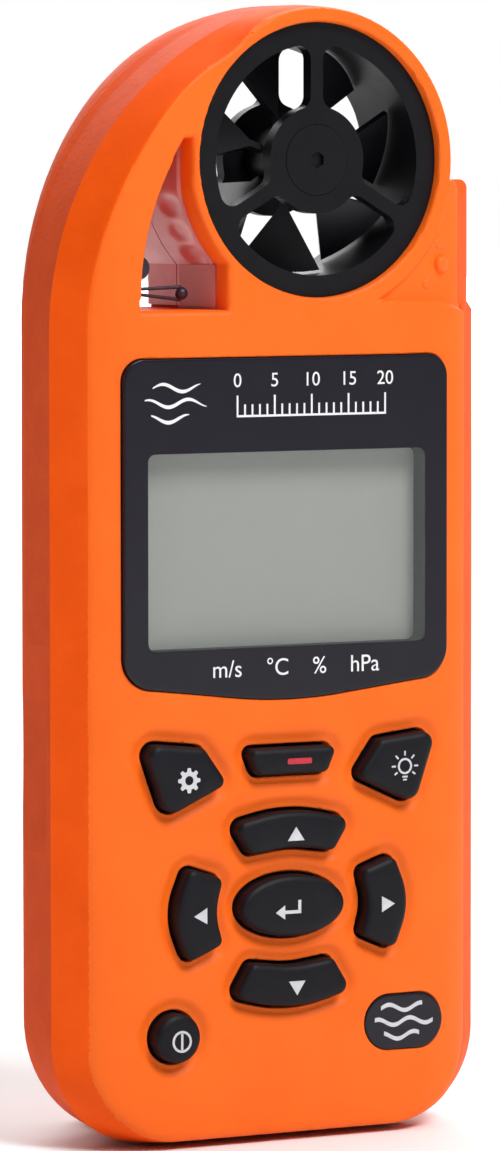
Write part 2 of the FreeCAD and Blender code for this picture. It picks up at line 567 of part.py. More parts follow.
def guard_plate(y0, y1, hub, inner=R1, wide=D("spoke_width")):
    """Disc with three rounded openings between spokes at 90, 210 and 330 degrees."""
    disc = ycyl(RX, RZ, inner + 0.6, y0, y1)
    ann = ycyl(RX, RZ, inner, y0 - 1, y1 + 1).cut(ycyl(RX, RZ, hub, y0 - 1, y1 + 1))
    for a in (90, 210, 330):
        arm = bx(RX, RX + 20, y0 - 2, y1 + 2, RZ - wide / 2, RZ + wide / 2)
        arm.rotate(V(RX, 0, RZ), V(0, -1, 0), a)
        ann = ann.cut(arm)
    cutters = []
    for s in ann.Solids:
        es = [e for e in s.Edges if e.Length > (y1 - y0) and abs(e.Vertexes[0].X - e.Vertexes[-1].X) < 1e-6
              and abs(e.Vertexes[0].Z - e.Vertexes[-1].Z) < 1e-6]
        cutters.append(s.makeFillet(1.5, es))
    for c in cutters:
        disc = disc.cut(c)
    return disc


y0, ys, y1 = D("ring_front"), D("ring_split"), D("ring_back")
front = ycyl(RX, RZ, R0, y0, ys).cut(ycyl(RX, RZ, R1, y0 - 1, ys + 1))
front = front.fuse(guard_plate(y0, y0 + gt, D("hub_disc_radius"))).removeSplitter()
front = front.cut(ycyl(RX, RZ, D("cap_pocket"), y0 - 1, y0 + 0.75))
front = front.cut(ycyl(RX, RZ, D("jewel_radius"), y0 - 1, y0 + 4))
feature("impeller_guard_front", front)
rear = ycyl(RX, RZ, R0, ys, y1).cut(ycyl(RX, RZ, R1, ys - 1, y1 + 1))
p0, p1 = D("rear_plate"), D("rear_plate") + 1.6
rear = rear.cut(Part.makeCone(R1, R0 - 0.2, y1 - p1, V(RX, p1, RZ), V(0, 1, 0)))
rear = rear.fuse(guard_plate(p0, p1, D("rear_disc_radius"), wide=D("rear_spoke_width"))).removeSplitter()
rear = rear.cut(ycyl(RX, RZ, D("jewel_radius"), p0 - 1, p1 + 1))
feature("impeller_guard_rear", rear)

b = body("hub_cap")
pad_round(b, "Disc", [("Dim.ring_x", "Dim.ring_z", "Dim.cap_radius")], "Dim.ring_front - 0.05", 0.78)
hx = rounded([(RX + 0.95 * math.cos(math.radians(a)), RZ + 0.95 * math.sin(math.radians(a))) for a in range(30, 390, 60)], [0.1] * 6)
cut(b, "KeySocket", hx, 0.5, 1.05)

sr, jb, jr = D("shaft_radius"), D("jewel_bore"), D("jewel_radius")
feature("bearing_front", ycyl(RX, RZ, jr - 0.02, 1.9, 2.78).cut(ycyl(RX, RZ, jb, 1.5, 3.5)))
feature("bearing_rear", ycyl(RX, RZ, jr - 0.02, p0 + 0.05, p1 - 0.05).cut(ycyl(RX, RZ, jb, p0 - 1, p1 - 0.4)))
yf, yl = D("rotor_front"), D("rotor_length")
feature("impeller_shaft", ycyl(RX, RZ, sr, 2.0, p1 - 0.5))
hub = ycyl(RX, RZ, D("rotor_hub"), yf + 0.6, yf + yl - 0.6).cut(ycyl(RX, RZ, sr + 0.02, 0, 20))
hub = hub.cut(ycyl(RX, RZ, 2.9, yf + yl - 2.0, yf + yl))
tip = D("blade_tip")
ym = yf + yl / 2
blades = []
n = int(D("blade_count"))
for i in range(n):
    # narrow at the hub, widening in a straight taper to the tip
    half = [(3.2, 0.45), (5.4, 0.45), (14.0, 6.04)]
    wire = Part.makePolygon([V(r, -h, 0) for r, h in half] + [V(r, h, 0) for r, h in half[::-1]] + [V(3.2, -0.45, 0)])
    pl = Part.Face(wire).extrude(V(0, 0, D("blade_thick")))
    pl.translate(V(0, 0, -D("blade_thick") / 2))
    # local X radial, local Y tangential, local Z along the spin axis (towards the face)
    pl.rotate(V(0, 0, 0), V(1, 0, 0), D("blade_pitch"))
    m = FreeCAD.Matrix(1, 0, 0, RX, 0, 0, -1, ym, 0, 1, 0, RZ, 0, 0, 0, 1)
    pl = pl.transformGeometry(m)
    pl.rotate(V(RX, ym, RZ), V(0, -1, 0), 263.8 + 360.0 * i / n)
    blades.append(pl)
core = ycyl(RX, RZ, tip, yf, yf + yl)
rot = hub
for p in blades:
    rot = rot.fuse(p.common(core).cut(ycyl(RX, RZ, D("rotor_hub") - 0.4, 0, 20)))
feature("impeller_rotor", rot)
feature("impeller_magnet", ycyl(RX, RZ, 2.8, yf + yl - 1.95, yf + yl - 0.7).cut(ycyl(RX, RZ, sr + 0.02, 0, 20)))
block("pickup_sensor", -6.4, -4.4, 5.7, 7.8, 93.6, 95.0)

# ---------------------------------------------------------------- sensors in the window
wire_r = 0.2
bead = Part.makeSphere(0.74, V(-11.15, 4.5, 94.9))
leads = [Part.makeCylinder(wire_r, 6.9, V(-18.1, 4.5, 95.2 + k * 0.18), V(6.9, 0, k * 0.52 - 0.3)) for k in (-1, 1)]
therm = bead
for w in leads:
    therm = therm.fuse(w)
feature("thermistor", therm)
hs = ycyl(-16.97, 97.8, 1.3, 3.5, 4.9).cut(bx(-20, -18.0, 0, 9, 90, 100))
hs = hs.fuse(bx(-18.05, -16.9, 4.9, 6.0, 97.1, 98.5))
feature("humidity_sensor", hs)
feature("sensor_carrier", bx(-8.12, -7.68, 2.6, 10.4, 93.15, 98.05))

# ---------------------------------------------------------------- battery bay
cr, cy = D("cell_radius"), D("cell_axis_depth")
tray = bx(-9.4, 9.4, 8.4, 15.9, 13.4, 71.6)
tray = tray.cut(zcyl(0, cy, 7.75, 14.5, 70.5)).cut(bx(-7.75, 7.75, cy, 20, 14.5, 70.5))
feature("battery_tray", tray)
zb = D("cell_bottom")
feature("battery", zcyl(0, cy, cr, zb, zb + D("cell_length")).fuse(zcyl(0, cy, 2.75, zb + D("cell_length"), zb + D("cell_length") + 1.0)))
plate_p = bx(-4.2, 4.2, cy - 5.5, cy + 4.2, 69.6, 70.3).fuse(zcyl(0, cy, 1.6, 68.55, 69.6))
feature("contact_positive", plate_p)
# negative contact: plate and the closed turns of a conical coil
coil = None
for rr, zz in ((3.4, 15.57), (3.0, 16.5), (2.6, 17.4)):
    ring = Part.makeTorus(rr, 0.55, V(0, cy, zz), V(0, 0, 1))
    coil = ring if coil is None else coil.fuse(ring)
feature("contact_spring", coil)
feature("contact_negative", bx(-4.4, 4.4, cy - 5.5, cy + 4.4, 14.55, 15.0))

# ---------------------------------------------------------------- battery door, hinge pin, gasket, latch
ho, hz, br = D("hinge_depth"), D("hinge_z"), D("barrel_radius")
b = body("battery_door")
pad(b, "Plate", rounded([(-10.5, 7.0), (10.5, 7.0), (10.5, 74.5), (-10.5, 74.5)], [1.5, 1.5, 0.15, 0.15]), "Dim.door_inner", "Dim.bulge_depth - Dim.door_inner")
cut_round(b, "LatchSeat", [(0.0, "Dim.latch_z", "Dim.latch_radius + 0.08")], 25.3, 3.0)
cut_round(b, "LatchBore", [(0.0, "Dim.latch_z", "Dim.latch_bore")], 23.0, 5.0)
s = sketch(b, "Barrel_sk", [], -10.5, role="YZ_Plane")
drive_circle(s, "Dim.hinge_depth", "Dim.hinge_z", "Dim.barrel_radius")
p = b.newObject("PartDesign::Pad", "Barrel")
p.Profile = s
p.Length = 21.0
doc.recompute()
# clear the plate's square end so only the barrel is left above the hinge line
s = sketch(b, "BarrelBore_sk", [], -11.0, role="YZ_Plane")
drive_circle(s, "Dim.hinge_depth", "Dim.hinge_z", "Dim.barrel_bore")
p = b.newObject("PartDesign::Pocket", "BarrelBore")
p.Profile = s
p.Reversed = True
p.Length = 22.0
doc.recompute()
feature("hinge_pin", xcyl(ho, hz, D("pin_radius"), -12.5, 12.5))
b = body("door_gasket")
pad(b, "Ring", rounded([(-9.6, 13.0), (9.6, 13.0), (9.6, 71.9), (-9.6, 71.9)], [2.0] * 4), 23.55, 0.55)
cut(b, "Inside", rounded([(-8.3, 14.3), (8.3, 14.3), (8.3, 70.9), (-8.3, 70.9)], [1.2] * 4), 23.0, 3.0)
lz = D("latch_z")
screw = ycyl(0, lz, D("latch_radius"), 25.3, 26.45).fuse(ycyl(0, lz, D("latch_shaft"), 21.7, 25.3))
screw = screw.cut(bx(-2.5, 2.5, 25.7, 28, lz - 0.5, lz + 0.5))
feature("latch_screw", screw)
cam = bx(0, 4.6, 22.0, 23.3, lz - 1.85, lz + 1.85).fuse(ycyl(0, lz, 2.0, 22.0, 23.3)).common(ycyl(0, lz, 4.6, 21, 25))
cam = cam.cut(ycyl(0, lz, D("latch_shaft") + 0.01, 20, 25))
feature("latch_cam", cam)

# ---------------------------------------------------------------- tripod insert, case screws
ins = ycyl(0, D("insert_z"), D("insert_radius") - 0.01, 11.6, 17.95).cut(ycyl(0, D("insert_z"), D("insert_bore"), 17.95 - D("insert_length"), 19))
feature("tripod_insert", ins)
group("case_screws", [ycyl(x, z, D("screw_head"), 15.92, 17.3).cut(bx(x - 1.2, x + 1.2, 16.7, 18, z - 0.25, z + 0.25)).fuse(
    ycyl(x, z, D("screw_radius"), 3.1, 15.92)) for x, z in SCREWS])

# ---------------------------------------------------------------- check and write
doc.recompute()
bad = []
for o in doc.Objects:
    if "Invalid" in o.State or "Error" in o.State:
        bad.append("%s %s" % (o.Name, o.State))
for o in NODES:
    s = o.Shape
    if s.isNull() or not s.isValid() or not s.Solids:
        bad.append("shape of %s" % o.Label)
if bad:
    raise RuntimeError("; ".join(bad))
os.makedirs("parts", exist_ok=True)
total = FreeCAD.BoundBox()
for o in NODES:
    o.Shape.exportStep("parts/%s.step" % o.Label)
    total.add(o.Shape.BoundBox)
    print("%-24s solids %2d  vol %9.1f mm3" % (o.Label, len(o.Shape.Solids), o.Shape.Volume))
print(len(NODES), "nodes; box", total)
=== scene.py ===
import bpy, bmesh, math
import numpy as np
from mathutils import Vector, Matrix
from mathutils.geometry import delaunay_2d_cdt
from mathutils.kdtree import KDTree


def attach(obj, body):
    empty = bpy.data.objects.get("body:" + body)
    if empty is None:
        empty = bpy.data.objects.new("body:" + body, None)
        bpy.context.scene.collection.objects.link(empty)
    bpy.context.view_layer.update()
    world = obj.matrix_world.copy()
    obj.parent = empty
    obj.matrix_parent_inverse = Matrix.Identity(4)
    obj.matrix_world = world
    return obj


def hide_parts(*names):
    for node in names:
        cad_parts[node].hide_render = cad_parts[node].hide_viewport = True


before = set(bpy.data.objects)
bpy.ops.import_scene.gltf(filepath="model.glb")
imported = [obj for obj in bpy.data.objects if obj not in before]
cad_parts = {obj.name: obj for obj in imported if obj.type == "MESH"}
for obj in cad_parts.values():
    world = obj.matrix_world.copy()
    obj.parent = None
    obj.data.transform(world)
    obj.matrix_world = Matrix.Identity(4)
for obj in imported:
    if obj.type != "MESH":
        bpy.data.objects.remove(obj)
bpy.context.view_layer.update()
YC = 12.5          # depth of the CAD origin behind the display window, mm
RX, RZ = 4.31, 109.67   # impeller axis, mm


def P3(x, y, z):
    return (x / 1000.0, (y - YC) / 1000.0, z / 1000.0)


# ------------------------------------------------------------------ 2-D helpers (mm, x right, z up)
def seg_line(a, b, n):
    return [(a[0] + (b[0] - a[0]) * i / n, a[1] + (b[1] - a[1]) * i / n) for i in range(n)]


def seg_arc(a, m, b, n):
    (x1, y1), (x2, y2), (x3, y3) = a, m, b
    d = 2 * (x1 * (y2 - y3) + x2 * (y3 - y1) + x3 * (y1 - y2))
    cx = ((x1 ** 2 + y1 ** 2) * (y2 - y3) + (x2 ** 2 + y2 ** 2) * (y3 - y1) + (x3 ** 2 + y3 ** 2) * (y1 - y2)) / d
    cy = ((x1 ** 2 + y1 ** 2) * (x3 - x2) + (x2 ** 2 + y2 ** 2) * (x1 - x3) + (x3 ** 2 + y3 ** 2) * (x2 - x1)) / d
    r = math.hypot(x1 - cx, y1 - cy)
    a0, am, a1 = math.atan2(y1 - cy, x1 - cx), math.atan2(y2 - cy, x2 - cx), math.atan2(y3 - cy, x3 - cx)
    sweep = (a1 - a0) % (2 * math.pi)
    if (am - a0) % (2 * math.pi) > sweep:
        sweep -= 2 * math.pi
    return [(cx + r * math.cos(a0 + sweep * i / n), cy + r * math.sin(a0 + sweep * i / n)) for i in range(n)]


def rounded(P, R, step=0.3, d=0.0):
    """Counter-clockwise polygon with a radius at each corner, sampled, offset outwards by d."""
    n = len(P)
    if d:
        Q = []
        for i in range(n):
            a, b, c = P[i - 1], P[i], P[(i + 1) % n]
            l1, l2 = math.dist(a, b), math.dist(b, c)
            u1, u2 = ((b[0] - a[0]) / l1, (b[1] - a[1]) / l1), ((c[0] - b[0]) / l2, (c[1] - b[1]) / l2)
            n1, n2 = (u1[1], -u1[0]), (u2[1], -u2[0])
            k = d / (1 + n1[0] * n2[0] + n1[1] * n2[1])
            Q.append((b[0] + (n1[0] + n2[0]) * k, b[1] + (n1[1] + n2[1]) * k))
    else:
        Q = list(P)
    arcs = []
    for i in range(n):
        a, b, c = Q[i - 1], Q[i], Q[(i + 1) % n]
        l1, l2 = math.dist(a, b), math.dist(b, c)
        u1, u2 = ((b[0] - a[0]) / l1, (b[1] - a[1]) / l1), ((c[0] - b[0]) / l2, (c[1] - b[1]) / l2)
        turn = math.atan2(u1[0] * u2[1] - u1[1] * u2[0], u1[0] * u2[0] + u1[1] * u2[1])
        r = max(0.15, R[i] + (d if turn > 0 else -d))
        t = r * math.tan(abs(turn) / 2)
        p, q = (b[0] - u1[0] * t, b[1] - u1[1] * t), (b[0] + u2[0] * t, b[1] + u2[1] * t)
        s = 1 if turn > 0 else -1
        cen = (p[0] - u1[1] * r * s, p[1] + u1[0] * r * s)
        k = math.dist(cen, b)
        m = (cen[0] + (b[0] - cen[0]) * r / k, cen[1] + (b[1] - cen[1]) * r / k)
        arcs.append((p, m, q, r * abs(turn)))
    out = []
    for i in range(n):
        p, m, q, ln = arcs[i]
        out += seg_arc(p, m, q, max(4, int(ln / step)))
        nx = arcs[(i + 1) % n][0]
        dd = math.dist(q, nx)
        out += seg_line(q, nx, max(1, int(dd / (step * 1.6)))) if dd > 1e-6 else []
    return out


def circle(x, z, r, n):
    return [(x + r * math.cos(2 * math.pi * i / n), z + r * math.sin(2 * math.pi * i / n)) for i in range(n)]


def shift(loop, d):
    """Move a sampled counter-clockwise loop outwards by d along its own normals."""
    a = np.array(loop)
    t = np.roll(a, -1, 0) - np.roll(a, 1, 0)
    t /= np.linalg.norm(t, axis=1)[:, None]
    return [tuple(v) for v in a + np.stack([t[:, 1], -t[:, 0]], 1) * d]


def outline(hw, zb, rc, rr, zs=107.4, step=0.7, rs=1.0, den=1.0, rl=None):
    """The body's outline, sampled so that every outline has the same number of points."""
    rl = rc if rl is None else rl
    cz = 90.34
    dd, e = RZ - cz, hw + RX
    big = (dd * dd + e * e - rr * rr) / (2 * (e - rr))
    cx = -hw + big
    ux, uz = (RX - cx) / (big - rr), (RZ - cz) / (big - rr)
    tp = (cx + ux * big, cz + uz * big)
    s2 = math.sqrt(0.5)
    xr = RX + math.sqrt(rr * rr - (RZ - zs) ** 2)
    a0, a1 = math.atan2(zs - RZ, xr - RX), math.atan2(tp[1] - RZ, tp[0] - RX)
    am = (a0 + a1) / 2
    bm = (math.atan2(tp[1] - cz, tp[0] - cx) + math.pi) / 2
    xh = hw - step
    k = lambda v: int(v * den)
    out = seg_line((-hw + rl, zb), (hw - rc, zb), k(50))
    out += seg_arc((hw - rc, zb), (hw - rc + rc * s2, zb + rc - rc * s2), (hw, zb + rc), k(40))
    out += seg_line((hw, zb + rc), (hw, 92.3), k(110))
    out += seg_line((hw, 92.3), (xh, 93.5), k(6))
    out += seg_line((xh, 93.5), (xh, zs - rs), k(26))
    out += seg_arc((xh, zs - rs), (xh - rs + rs * s2, zs - rs + rs * s2), (xh - rs, zs), k(10))
    out += seg_line((xh - rs, zs), (xr, zs), k(12))
    out += seg_arc((xr, zs), (RX + rr * math.cos(am), RZ + rr * math.sin(am)), tp, k(90))
    out += seg_arc(tp, (cx + big * math.cos(bm), cz + big * math.sin(bm)), (-hw, cz), k(110))
    out += seg_line((-hw, cz), (-hw, zb + rl), k(110))
    out += seg_arc((-hw, zb + rl), (-hw + rl - rl * s2, zb + rl - rl * s2), (-hw + rl, zb), k(40))
    return out


def in_loop(pts, loop):
    """Which points lie inside a closed loop (crossing number)."""
    x, y = pts[:, 0], pts[:, 1]
    a = np.array(loop)
    b = np.roll(a, -1, 0)
    inside = np.zeros(len(pts), bool)
    for (x1, y1), (x2, y2) in zip(a, b):
        if y1 == y2:
            continue
        c = (y1 > y) != (y2 > y)
        if not c.any():
            continue
        xi = (x2 - x1) * (y[c] - y1) / (y2 - y1) + x1
        inside[c] ^= x[c] < xi
    return inside


def dist_loop(pts, loop, reach=None):
    """Distance of each point to a closed loop, and the nearest point's index; far points get reach."""
    a = np.array(loop)
    b = np.roll(a, -1, 0)
    out = np.full(len(pts), 1e9 if reach is None else float(reach))
    near = np.zeros(len(pts), int)
    sel = np.arange(len(pts))
    if reach is not None:
        lo, hi = a.min(0) - reach, a.max(0) + reach
        sel = np.nonzero(((pts > lo) & (pts < hi)).all(1))[0]
    ab = b - a
    l2 = (ab ** 2).sum(1)
    for s in range(0, len(sel), 4000):
        ix = sel[s:s + 4000]
        p = pts[ix]
        ap = p[:, None, :] - a[None]
        t = np.clip((ap * ab[None]).sum(2) / l2[None], 0, 1)
        d = np.linalg.norm(ap - t[:, :, None] * ab[None], axis=2)
        j = d.argmin(1)
        v = d[np.arange(len(ix)), j]
        out[ix] = np.minimum(v, out[ix]) if reach is not None else v
        near[ix] = j
    return out, near


def sstep(e0, e1, x):
    t = np.clip((x - e0) / (e1 - e0), 0, 1)
    return t * t * (3 - 2 * t)


# ------------------------------------------------------------------ meshes
def new_object(name, verts, faces, mat=None, angle=42.0, smooth=True):
    me = bpy.data.meshes.new(name)
    me.from_pydata([tuple(v) for v in verts], [], [tuple(f) for f in faces])
    me.validate(clean_customdata=False)
    bm = bmesh.new()
    bm.from_mesh(me)
    bmesh.ops.recalc_face_normals(bm, faces=bm.faces)
    bm.to_mesh(me)
    bm.free()
    if smooth:
        me.polygons.foreach_set("use_smooth", [True] * len(me.polygons))
        me.set_sharp_from_angle(angle=math.radians(angle))
    me.update()
    o = bpy.data.objects.new(name, me)
    bpy.context.scene.collection.objects.link(o)
    if mat:
        me.materials.append(mat)
    return o


def region(outer, holes, extra=None, keep=None):
    """Triangles that fill an outer loop less its holes; the loops' points come first and in order."""
    loops = [outer] + list(holes)
    V, E = [], []
    for lp in loops:
        s = len(V)
        V += [tuple(p) for p in lp]
        E += [(s + i, s + (i + 1) % len(lp)) for i in range(len(lp))]
    nb = len(V)
    if extra is not None and len(extra):
        ex = np.asarray(extra, float)
        m = in_loop(ex, outer)
        for h in holes:
            m &= ~in_loop(ex, h)
        ex = ex[m]
        bp = np.array(V)
        cell = {}
        keepers = []
        g = 0.09 if keep is None else keep
        for p in bp:
            cell.setdefault((int(p[0] // g), int(p[1] // g)), []).append(p)
        for p in ex:
            kx, ky = int(p[0] // g), int(p[1] // g)
            ok = True
            for i in (-1, 0, 1):
                for j in (-1, 0, 1):
                    for q in cell.get((kx + i, ky + j), ()):
                        if (q[0] - p[0]) ** 2 + (q[1] - p[1]) ** 2 < g * g:
                            ok = False
            if ok:
                keepers.append(tuple(p))
                cell.setdefault((kx, ky), []).append(p)
        V += keepers
    vo, _, fo, *_rest = delaunay_2d_cdt([Vector(p) for p in V], E, [], 0, 1e-7)
    pts = np.array([(v.x, v.y) for v in vo])
    tri = np.array([f for f in fo if len(f) == 3])
    cen = pts[tri].mean(1)
    m = in_loop(cen, outer)
    for h in holes:
        m &= ~in_loop(cen, h)
    return pts, tri[m], nb


def find_loop(pts, loop):
    """Indices of a loop's points in the triangulated set."""
    kd = KDTree(len(pts))
    for i, p in enumerate(pts):
        kd.insert((p[0], p[1], 0.0), i)
    kd.balance()
    return [kd.find((float(p[0]), float(p[1]), 0.0))[1] for p in loop]


class Build:
    """Collects vertices (mm) and faces of one mesh."""

    def __init__(self):
        self.v, self.f = [], []

    def loop(self, loop, y):
        s = len(self.v)
        ys = y if hasattr(y, "__len__") else [y] * len(loop)
        self.v += [P3(p[0], yy, p[1]) for p, yy in zip(loop, ys)]
        return list(range(s, s + len(loop)))

    def strip(self, a, b):
        n = len(a)
        for i in range(n):
            j = (i + 1) % n
            self.f.append((a[i], a[j], b[j], b[i]))

    def cap(self, outer, ids, holes=(), hole_ids=(), y=0.0, extra=None, fn=None):
        """Fill between loops that are already in the mesh."""
        pts, tri, nb = region(outer, holes, extra)
        base = find_loop(pts, [p for lp in [outer] + list(holes) for p in lp])
        flat = [i for lst in [ids] + list(hole_ids) for i in lst]
        mp = dict(zip(base, flat))
        s = len(self.v)
        for i, p in enumerate(pts):
            if i not in mp:
                mp[i] = len(self.v)
                self.v.append(P3(p[0], fn(p[0], p[1]) if fn else y, p[1]))
        for t in tri:
            self.f.append(tuple(mp[i] for i in t))


# ------------------------------------------------------------------ materials
def srgb(r, g, b):
    f = lambda c: (c / 255.0) / 12.92 if c / 255.0 <= 0.04045 else ((c / 255.0 + 0.055) / 1.055) ** 2.4
    return (f(r), f(g), f(b), 1.0)


def material(name, col, col2=None, rough=0.4, rough2=None, scale=300.0, bump=0.0, bump_scale=2500.0, spec=0.5,
             metallic=0.0, coat=0.0, coat_rough=0.1, sheen=0.0, alpha=1.0, speck=None, speck_scale=1500.0, detail=4.0,
             emission=None, sss=0.0):
    """Procedural finish: a two-tone colour drift, uneven roughness, and moulded grain as bump, all in object space."""
    m = bpy.data.materials.new(name)
    m.use_nodes = True
    nt = m.node_tree
    N = nt.nodes
    bs = N["Principled BSDF"]
    tc = N.new("ShaderNodeTexCoord")
    n1 = N.new("ShaderNodeTexNoise")
    n1.inputs["Scale"].default_value = scale
    n1.inputs["Detail"].default_value = detail
    n1.inputs["Roughness"].default_value = 0.55
    nt.links.new(tc.outputs["Object"], n1.inputs["Vector"])
    ramp = N.new("ShaderNodeValToRGB")
    ramp.color_ramp.elements[0].position = 0.32
    ramp.color_ramp.elements[1].position = 0.68
    ramp.color_ramp.elements[0].color = col
    ramp.color_ramp.elements[1].color = col2 or col
    nt.links.new(n1.outputs["Fac"], ramp.inputs["Fac"])
    out = ramp.outputs["Color"]
    if speck:
        n3 = N.new("ShaderNodeTexNoise")
        n3.inputs["Scale"].default_value = speck_scale
        n3.inputs["Detail"].default_value = 2.0
        nt.links.new(tc.outputs["Object"], n3.inputs["Vector"])
        r3 = N.new("ShaderNodeValToRGB")
        r3.color_ramp.elements[0].position = 0.60
        r3.color_ramp.elements[1].position = 0.74
        r3.color_ramp.elements[0].color = (0, 0, 0, 1)
        r3.color_ramp.elements[1].color = (1, 1, 1, 1)
        nt.links.new(n3.outputs["Fac"], r3.inputs["Fac"])
        mx = N.new("ShaderNodeMix")
        mx.data_type = "RGBA"
        nt.links.new(r3.outputs["Color"], mx.inputs["Factor"])
        nt.links.new(out, mx.inputs["A"])
        mx.inputs["B"].default_value = speck
        out = mx.outputs["Result"]
    nt.links.new(out, bs.inputs["Base Color"])
    mr = N.new("ShaderNodeMapRange")
    mr.inputs["To Min"].default_value = rough
    mr.inputs["To Max"].default_value = rough2 if rough2 is not None else min(1.0, rough + 0.08)
    n2 = N.new("ShaderNodeTexNoise")
    n2.inputs["Scale"].default_value = scale * 2.3
    n2.inputs["Detail"].default_value = 3.0
    nt.links.new(tc.outputs["Object"], n2.inputs["Vector"])
    nt.links.new(n2.outputs["Fac"], mr.inputs["Value"])
    nt.links.new(mr.outputs["Result"], bs.inputs["Roughness"])
    if bump:
        n4 = N.new("ShaderNodeTexNoise")
        n4.inputs["Scale"].default_value = bump_scale
        n4.inputs["Detail"].default_value = 3.0
        nt.links.new(tc.outputs["Object"], n4.inputs["Vector"])
        bp = N.new("ShaderNodeBump")
        bp.inputs["Strength"].default_value = 1.0
        bp.inputs["Distance"].default_value = bump
        nt.links.new(n4.outputs["Fac"], bp.inputs["Height"])
        nt.links.new(bp.outputs["Normal"], bs.inputs["Normal"])
    bs.inputs["Specular IOR Level"].default_value = spec
    bs.inputs["Metallic"].default_value = metallic
    bs.inputs["Coat Weight"].default_value = coat
    bs.inputs["Coat Roughness"].default_value = coat_rough
    bs.inputs["Sheen Weight"].default_value = sheen
    bs.inputs["Alpha"].default_value = alpha
    if sss:
        bs.inputs["Subsurface Weight"].default_value = sss
        bs.inputs["Subsurface Radius"].default_value = (0.002, 0.0008, 0.0003)
        bs.inputs["Subsurface Scale"].default_value = 1.0
    if emission:
        bs.inputs["Emission Color"].default_value = emission[0]
        bs.inputs["Emission Strength"].default_value = emission[1]
    return m


ORANGE = material("orange_plastic", srgb(247, 103, 18), srgb(252, 108, 24), rough=0.46, rough2=0.54, scale=120, bump=0.000004, bump_scale=3800, spec=0.25)
# shoulder orange: the grain is the real textured finish, the deeper tone is painted shade of the same plastic
ORANGE_SHOULDER_SHADED = material("orange_shoulder_painted_shade", srgb(240, 84, 8), srgb(248, 90, 12), rough=0.55, rough2=0.62, scale=180, bump=0.00003, bump_scale=1900, spec=0.1)
# textured orange of the rear case: real grain, with painted shade in its deeper tone
ORANGE_TEXTURED_SHADED = material("orange_textured_painted_shade", srgb(216, 74, 16), srgb(226, 80, 20), rough=0.55, rough2=0.65, scale=260, bump=0.00006, bump_scale=1700, spec=0.1)
KEY = material("key_rubber", srgb(12, 11, 17), srgb(16, 15, 22), rough=0.48, rough2=0.58, scale=420, bump=0.00001, bump_scale=4200, spec=0.22)
LENS = material("lens_border", srgb(27, 25, 33), srgb(30, 28, 36), rough=0.2, rough2=0.26, scale=90, spec=0.25, bump=0.0000004, bump_scale=300)
# near-black matte walls of the display recess: the frame's own black, darkened further as painted shade
RECESS_BLACK_SHADED = material("lens_recess_black_painted_shade", srgb(10, 10, 12), srgb(14, 14, 16), rough=0.7, scale=300, bump=0.00001, spec=0.1)
LCD = material("lcd_glass", srgb(143, 146, 139), srgb(146, 149, 142), rough=0.62, rough2=0.66, scale=35, spec=0.08, bump=0.0, bump_scale=40)
PRINT = material("white_print", srgb(236, 236, 238), srgb(226, 227, 230), rough=0.45, scale=900, bump=0.000004, bump_scale=6000)
PRINT_GREY = material("grey_print", srgb(196, 197, 202), srgb(208, 209, 213), rough=0.5, scale=900, bump=0.000004, bump_scale=6000)
PRINT_RED = material("red_print", srgb(196, 44, 58), srgb(180, 36, 50), rough=0.5, scale=900, bump=0.000004, bump_scale=6000)
IMP = material("impeller_plastic", srgb(8, 8, 13), srgb(12, 12, 18), rough=0.4, rough2=0.5, scale=240, bump=0.00001, bump_scale=2200, spec=0.22)
BLADE = material("impeller_blade", srgb(16, 16, 21), srgb(21, 21, 27), rough=0.3, rough2=0.4, scale=200, bump=0.000008, bump_scale=2400, spec=0.4)
RUBBER = material("seal_rubber", srgb(24, 24, 26), srgb(30, 30, 32), rough=0.7, scale=300, bump=0.00002)
STEEL = material("steel", srgb(190, 190, 192), srgb(170, 171, 174), rough=0.28, rough2=0.42, scale=900, metallic=1.0, bump=0.000006, bump_scale=2500)
BRASS = material("brass", srgb(201, 163, 90), srgb(186, 146, 74), rough=0.3, rough2=0.42, scale=700, metallic=1.0, bump=0.00001)
BOARD = material("board", srgb(18, 84, 48), srgb(24, 96, 56), rough=0.4, scale=500, bump=0.00002)
CHIP = material("chip", srgb(26, 26, 28), srgb(34, 34, 36), rough=0.55, scale=900, bump=0.00001)
CELL = material("cell_wrap", srgb(70, 92, 128), srgb(78, 100, 136), rough=0.25, rough2=0.35, scale=120, bump=0.000004, metallic=0.4)
WHITE = material("white_plastic", srgb(226, 226, 222), srgb(218, 218, 214), rough=0.5, scale=300, bump=0.00001)
SENSOR = material("sensor_epoxy", srgb(34, 24, 40), srgb(44, 30, 48), rough=0.35, scale=700, bump=0.00002)
JEWEL = material("jewel", srgb(170, 30, 50), srgb(150, 22, 40), rough=0.1, scale=200, bump=0.000002)
CLEAR = material("sensor_clear", srgb(214, 128, 122), srgb(222, 138, 132), rough=0.2, rough2=0.3, scale=300, alpha=0.45, bump=0.00001)
# pink over the orange wall: painted reflection of white light at grazing angles; the gloss and coat are real
WALL_REFLECTION_SHEET = material("window_wall_painted_reflection", srgb(196, 104, 100), srgb(214, 126, 124), rough=0.3, rough2=0.42, scale=220, spec=0.5, bump=0.00002, bump_scale=1400, coat=0.3, coat_rough=0.25)


def clear_window(name):
    m = material(name, srgb(210, 216, 216), srgb(214, 219, 219), rough=0.09, rough2=0.11, scale=60, alpha=0.05, spec=0.4, bump=0.0, bump_scale=100)
    return m


WINDOW = clear_window("window_clear")

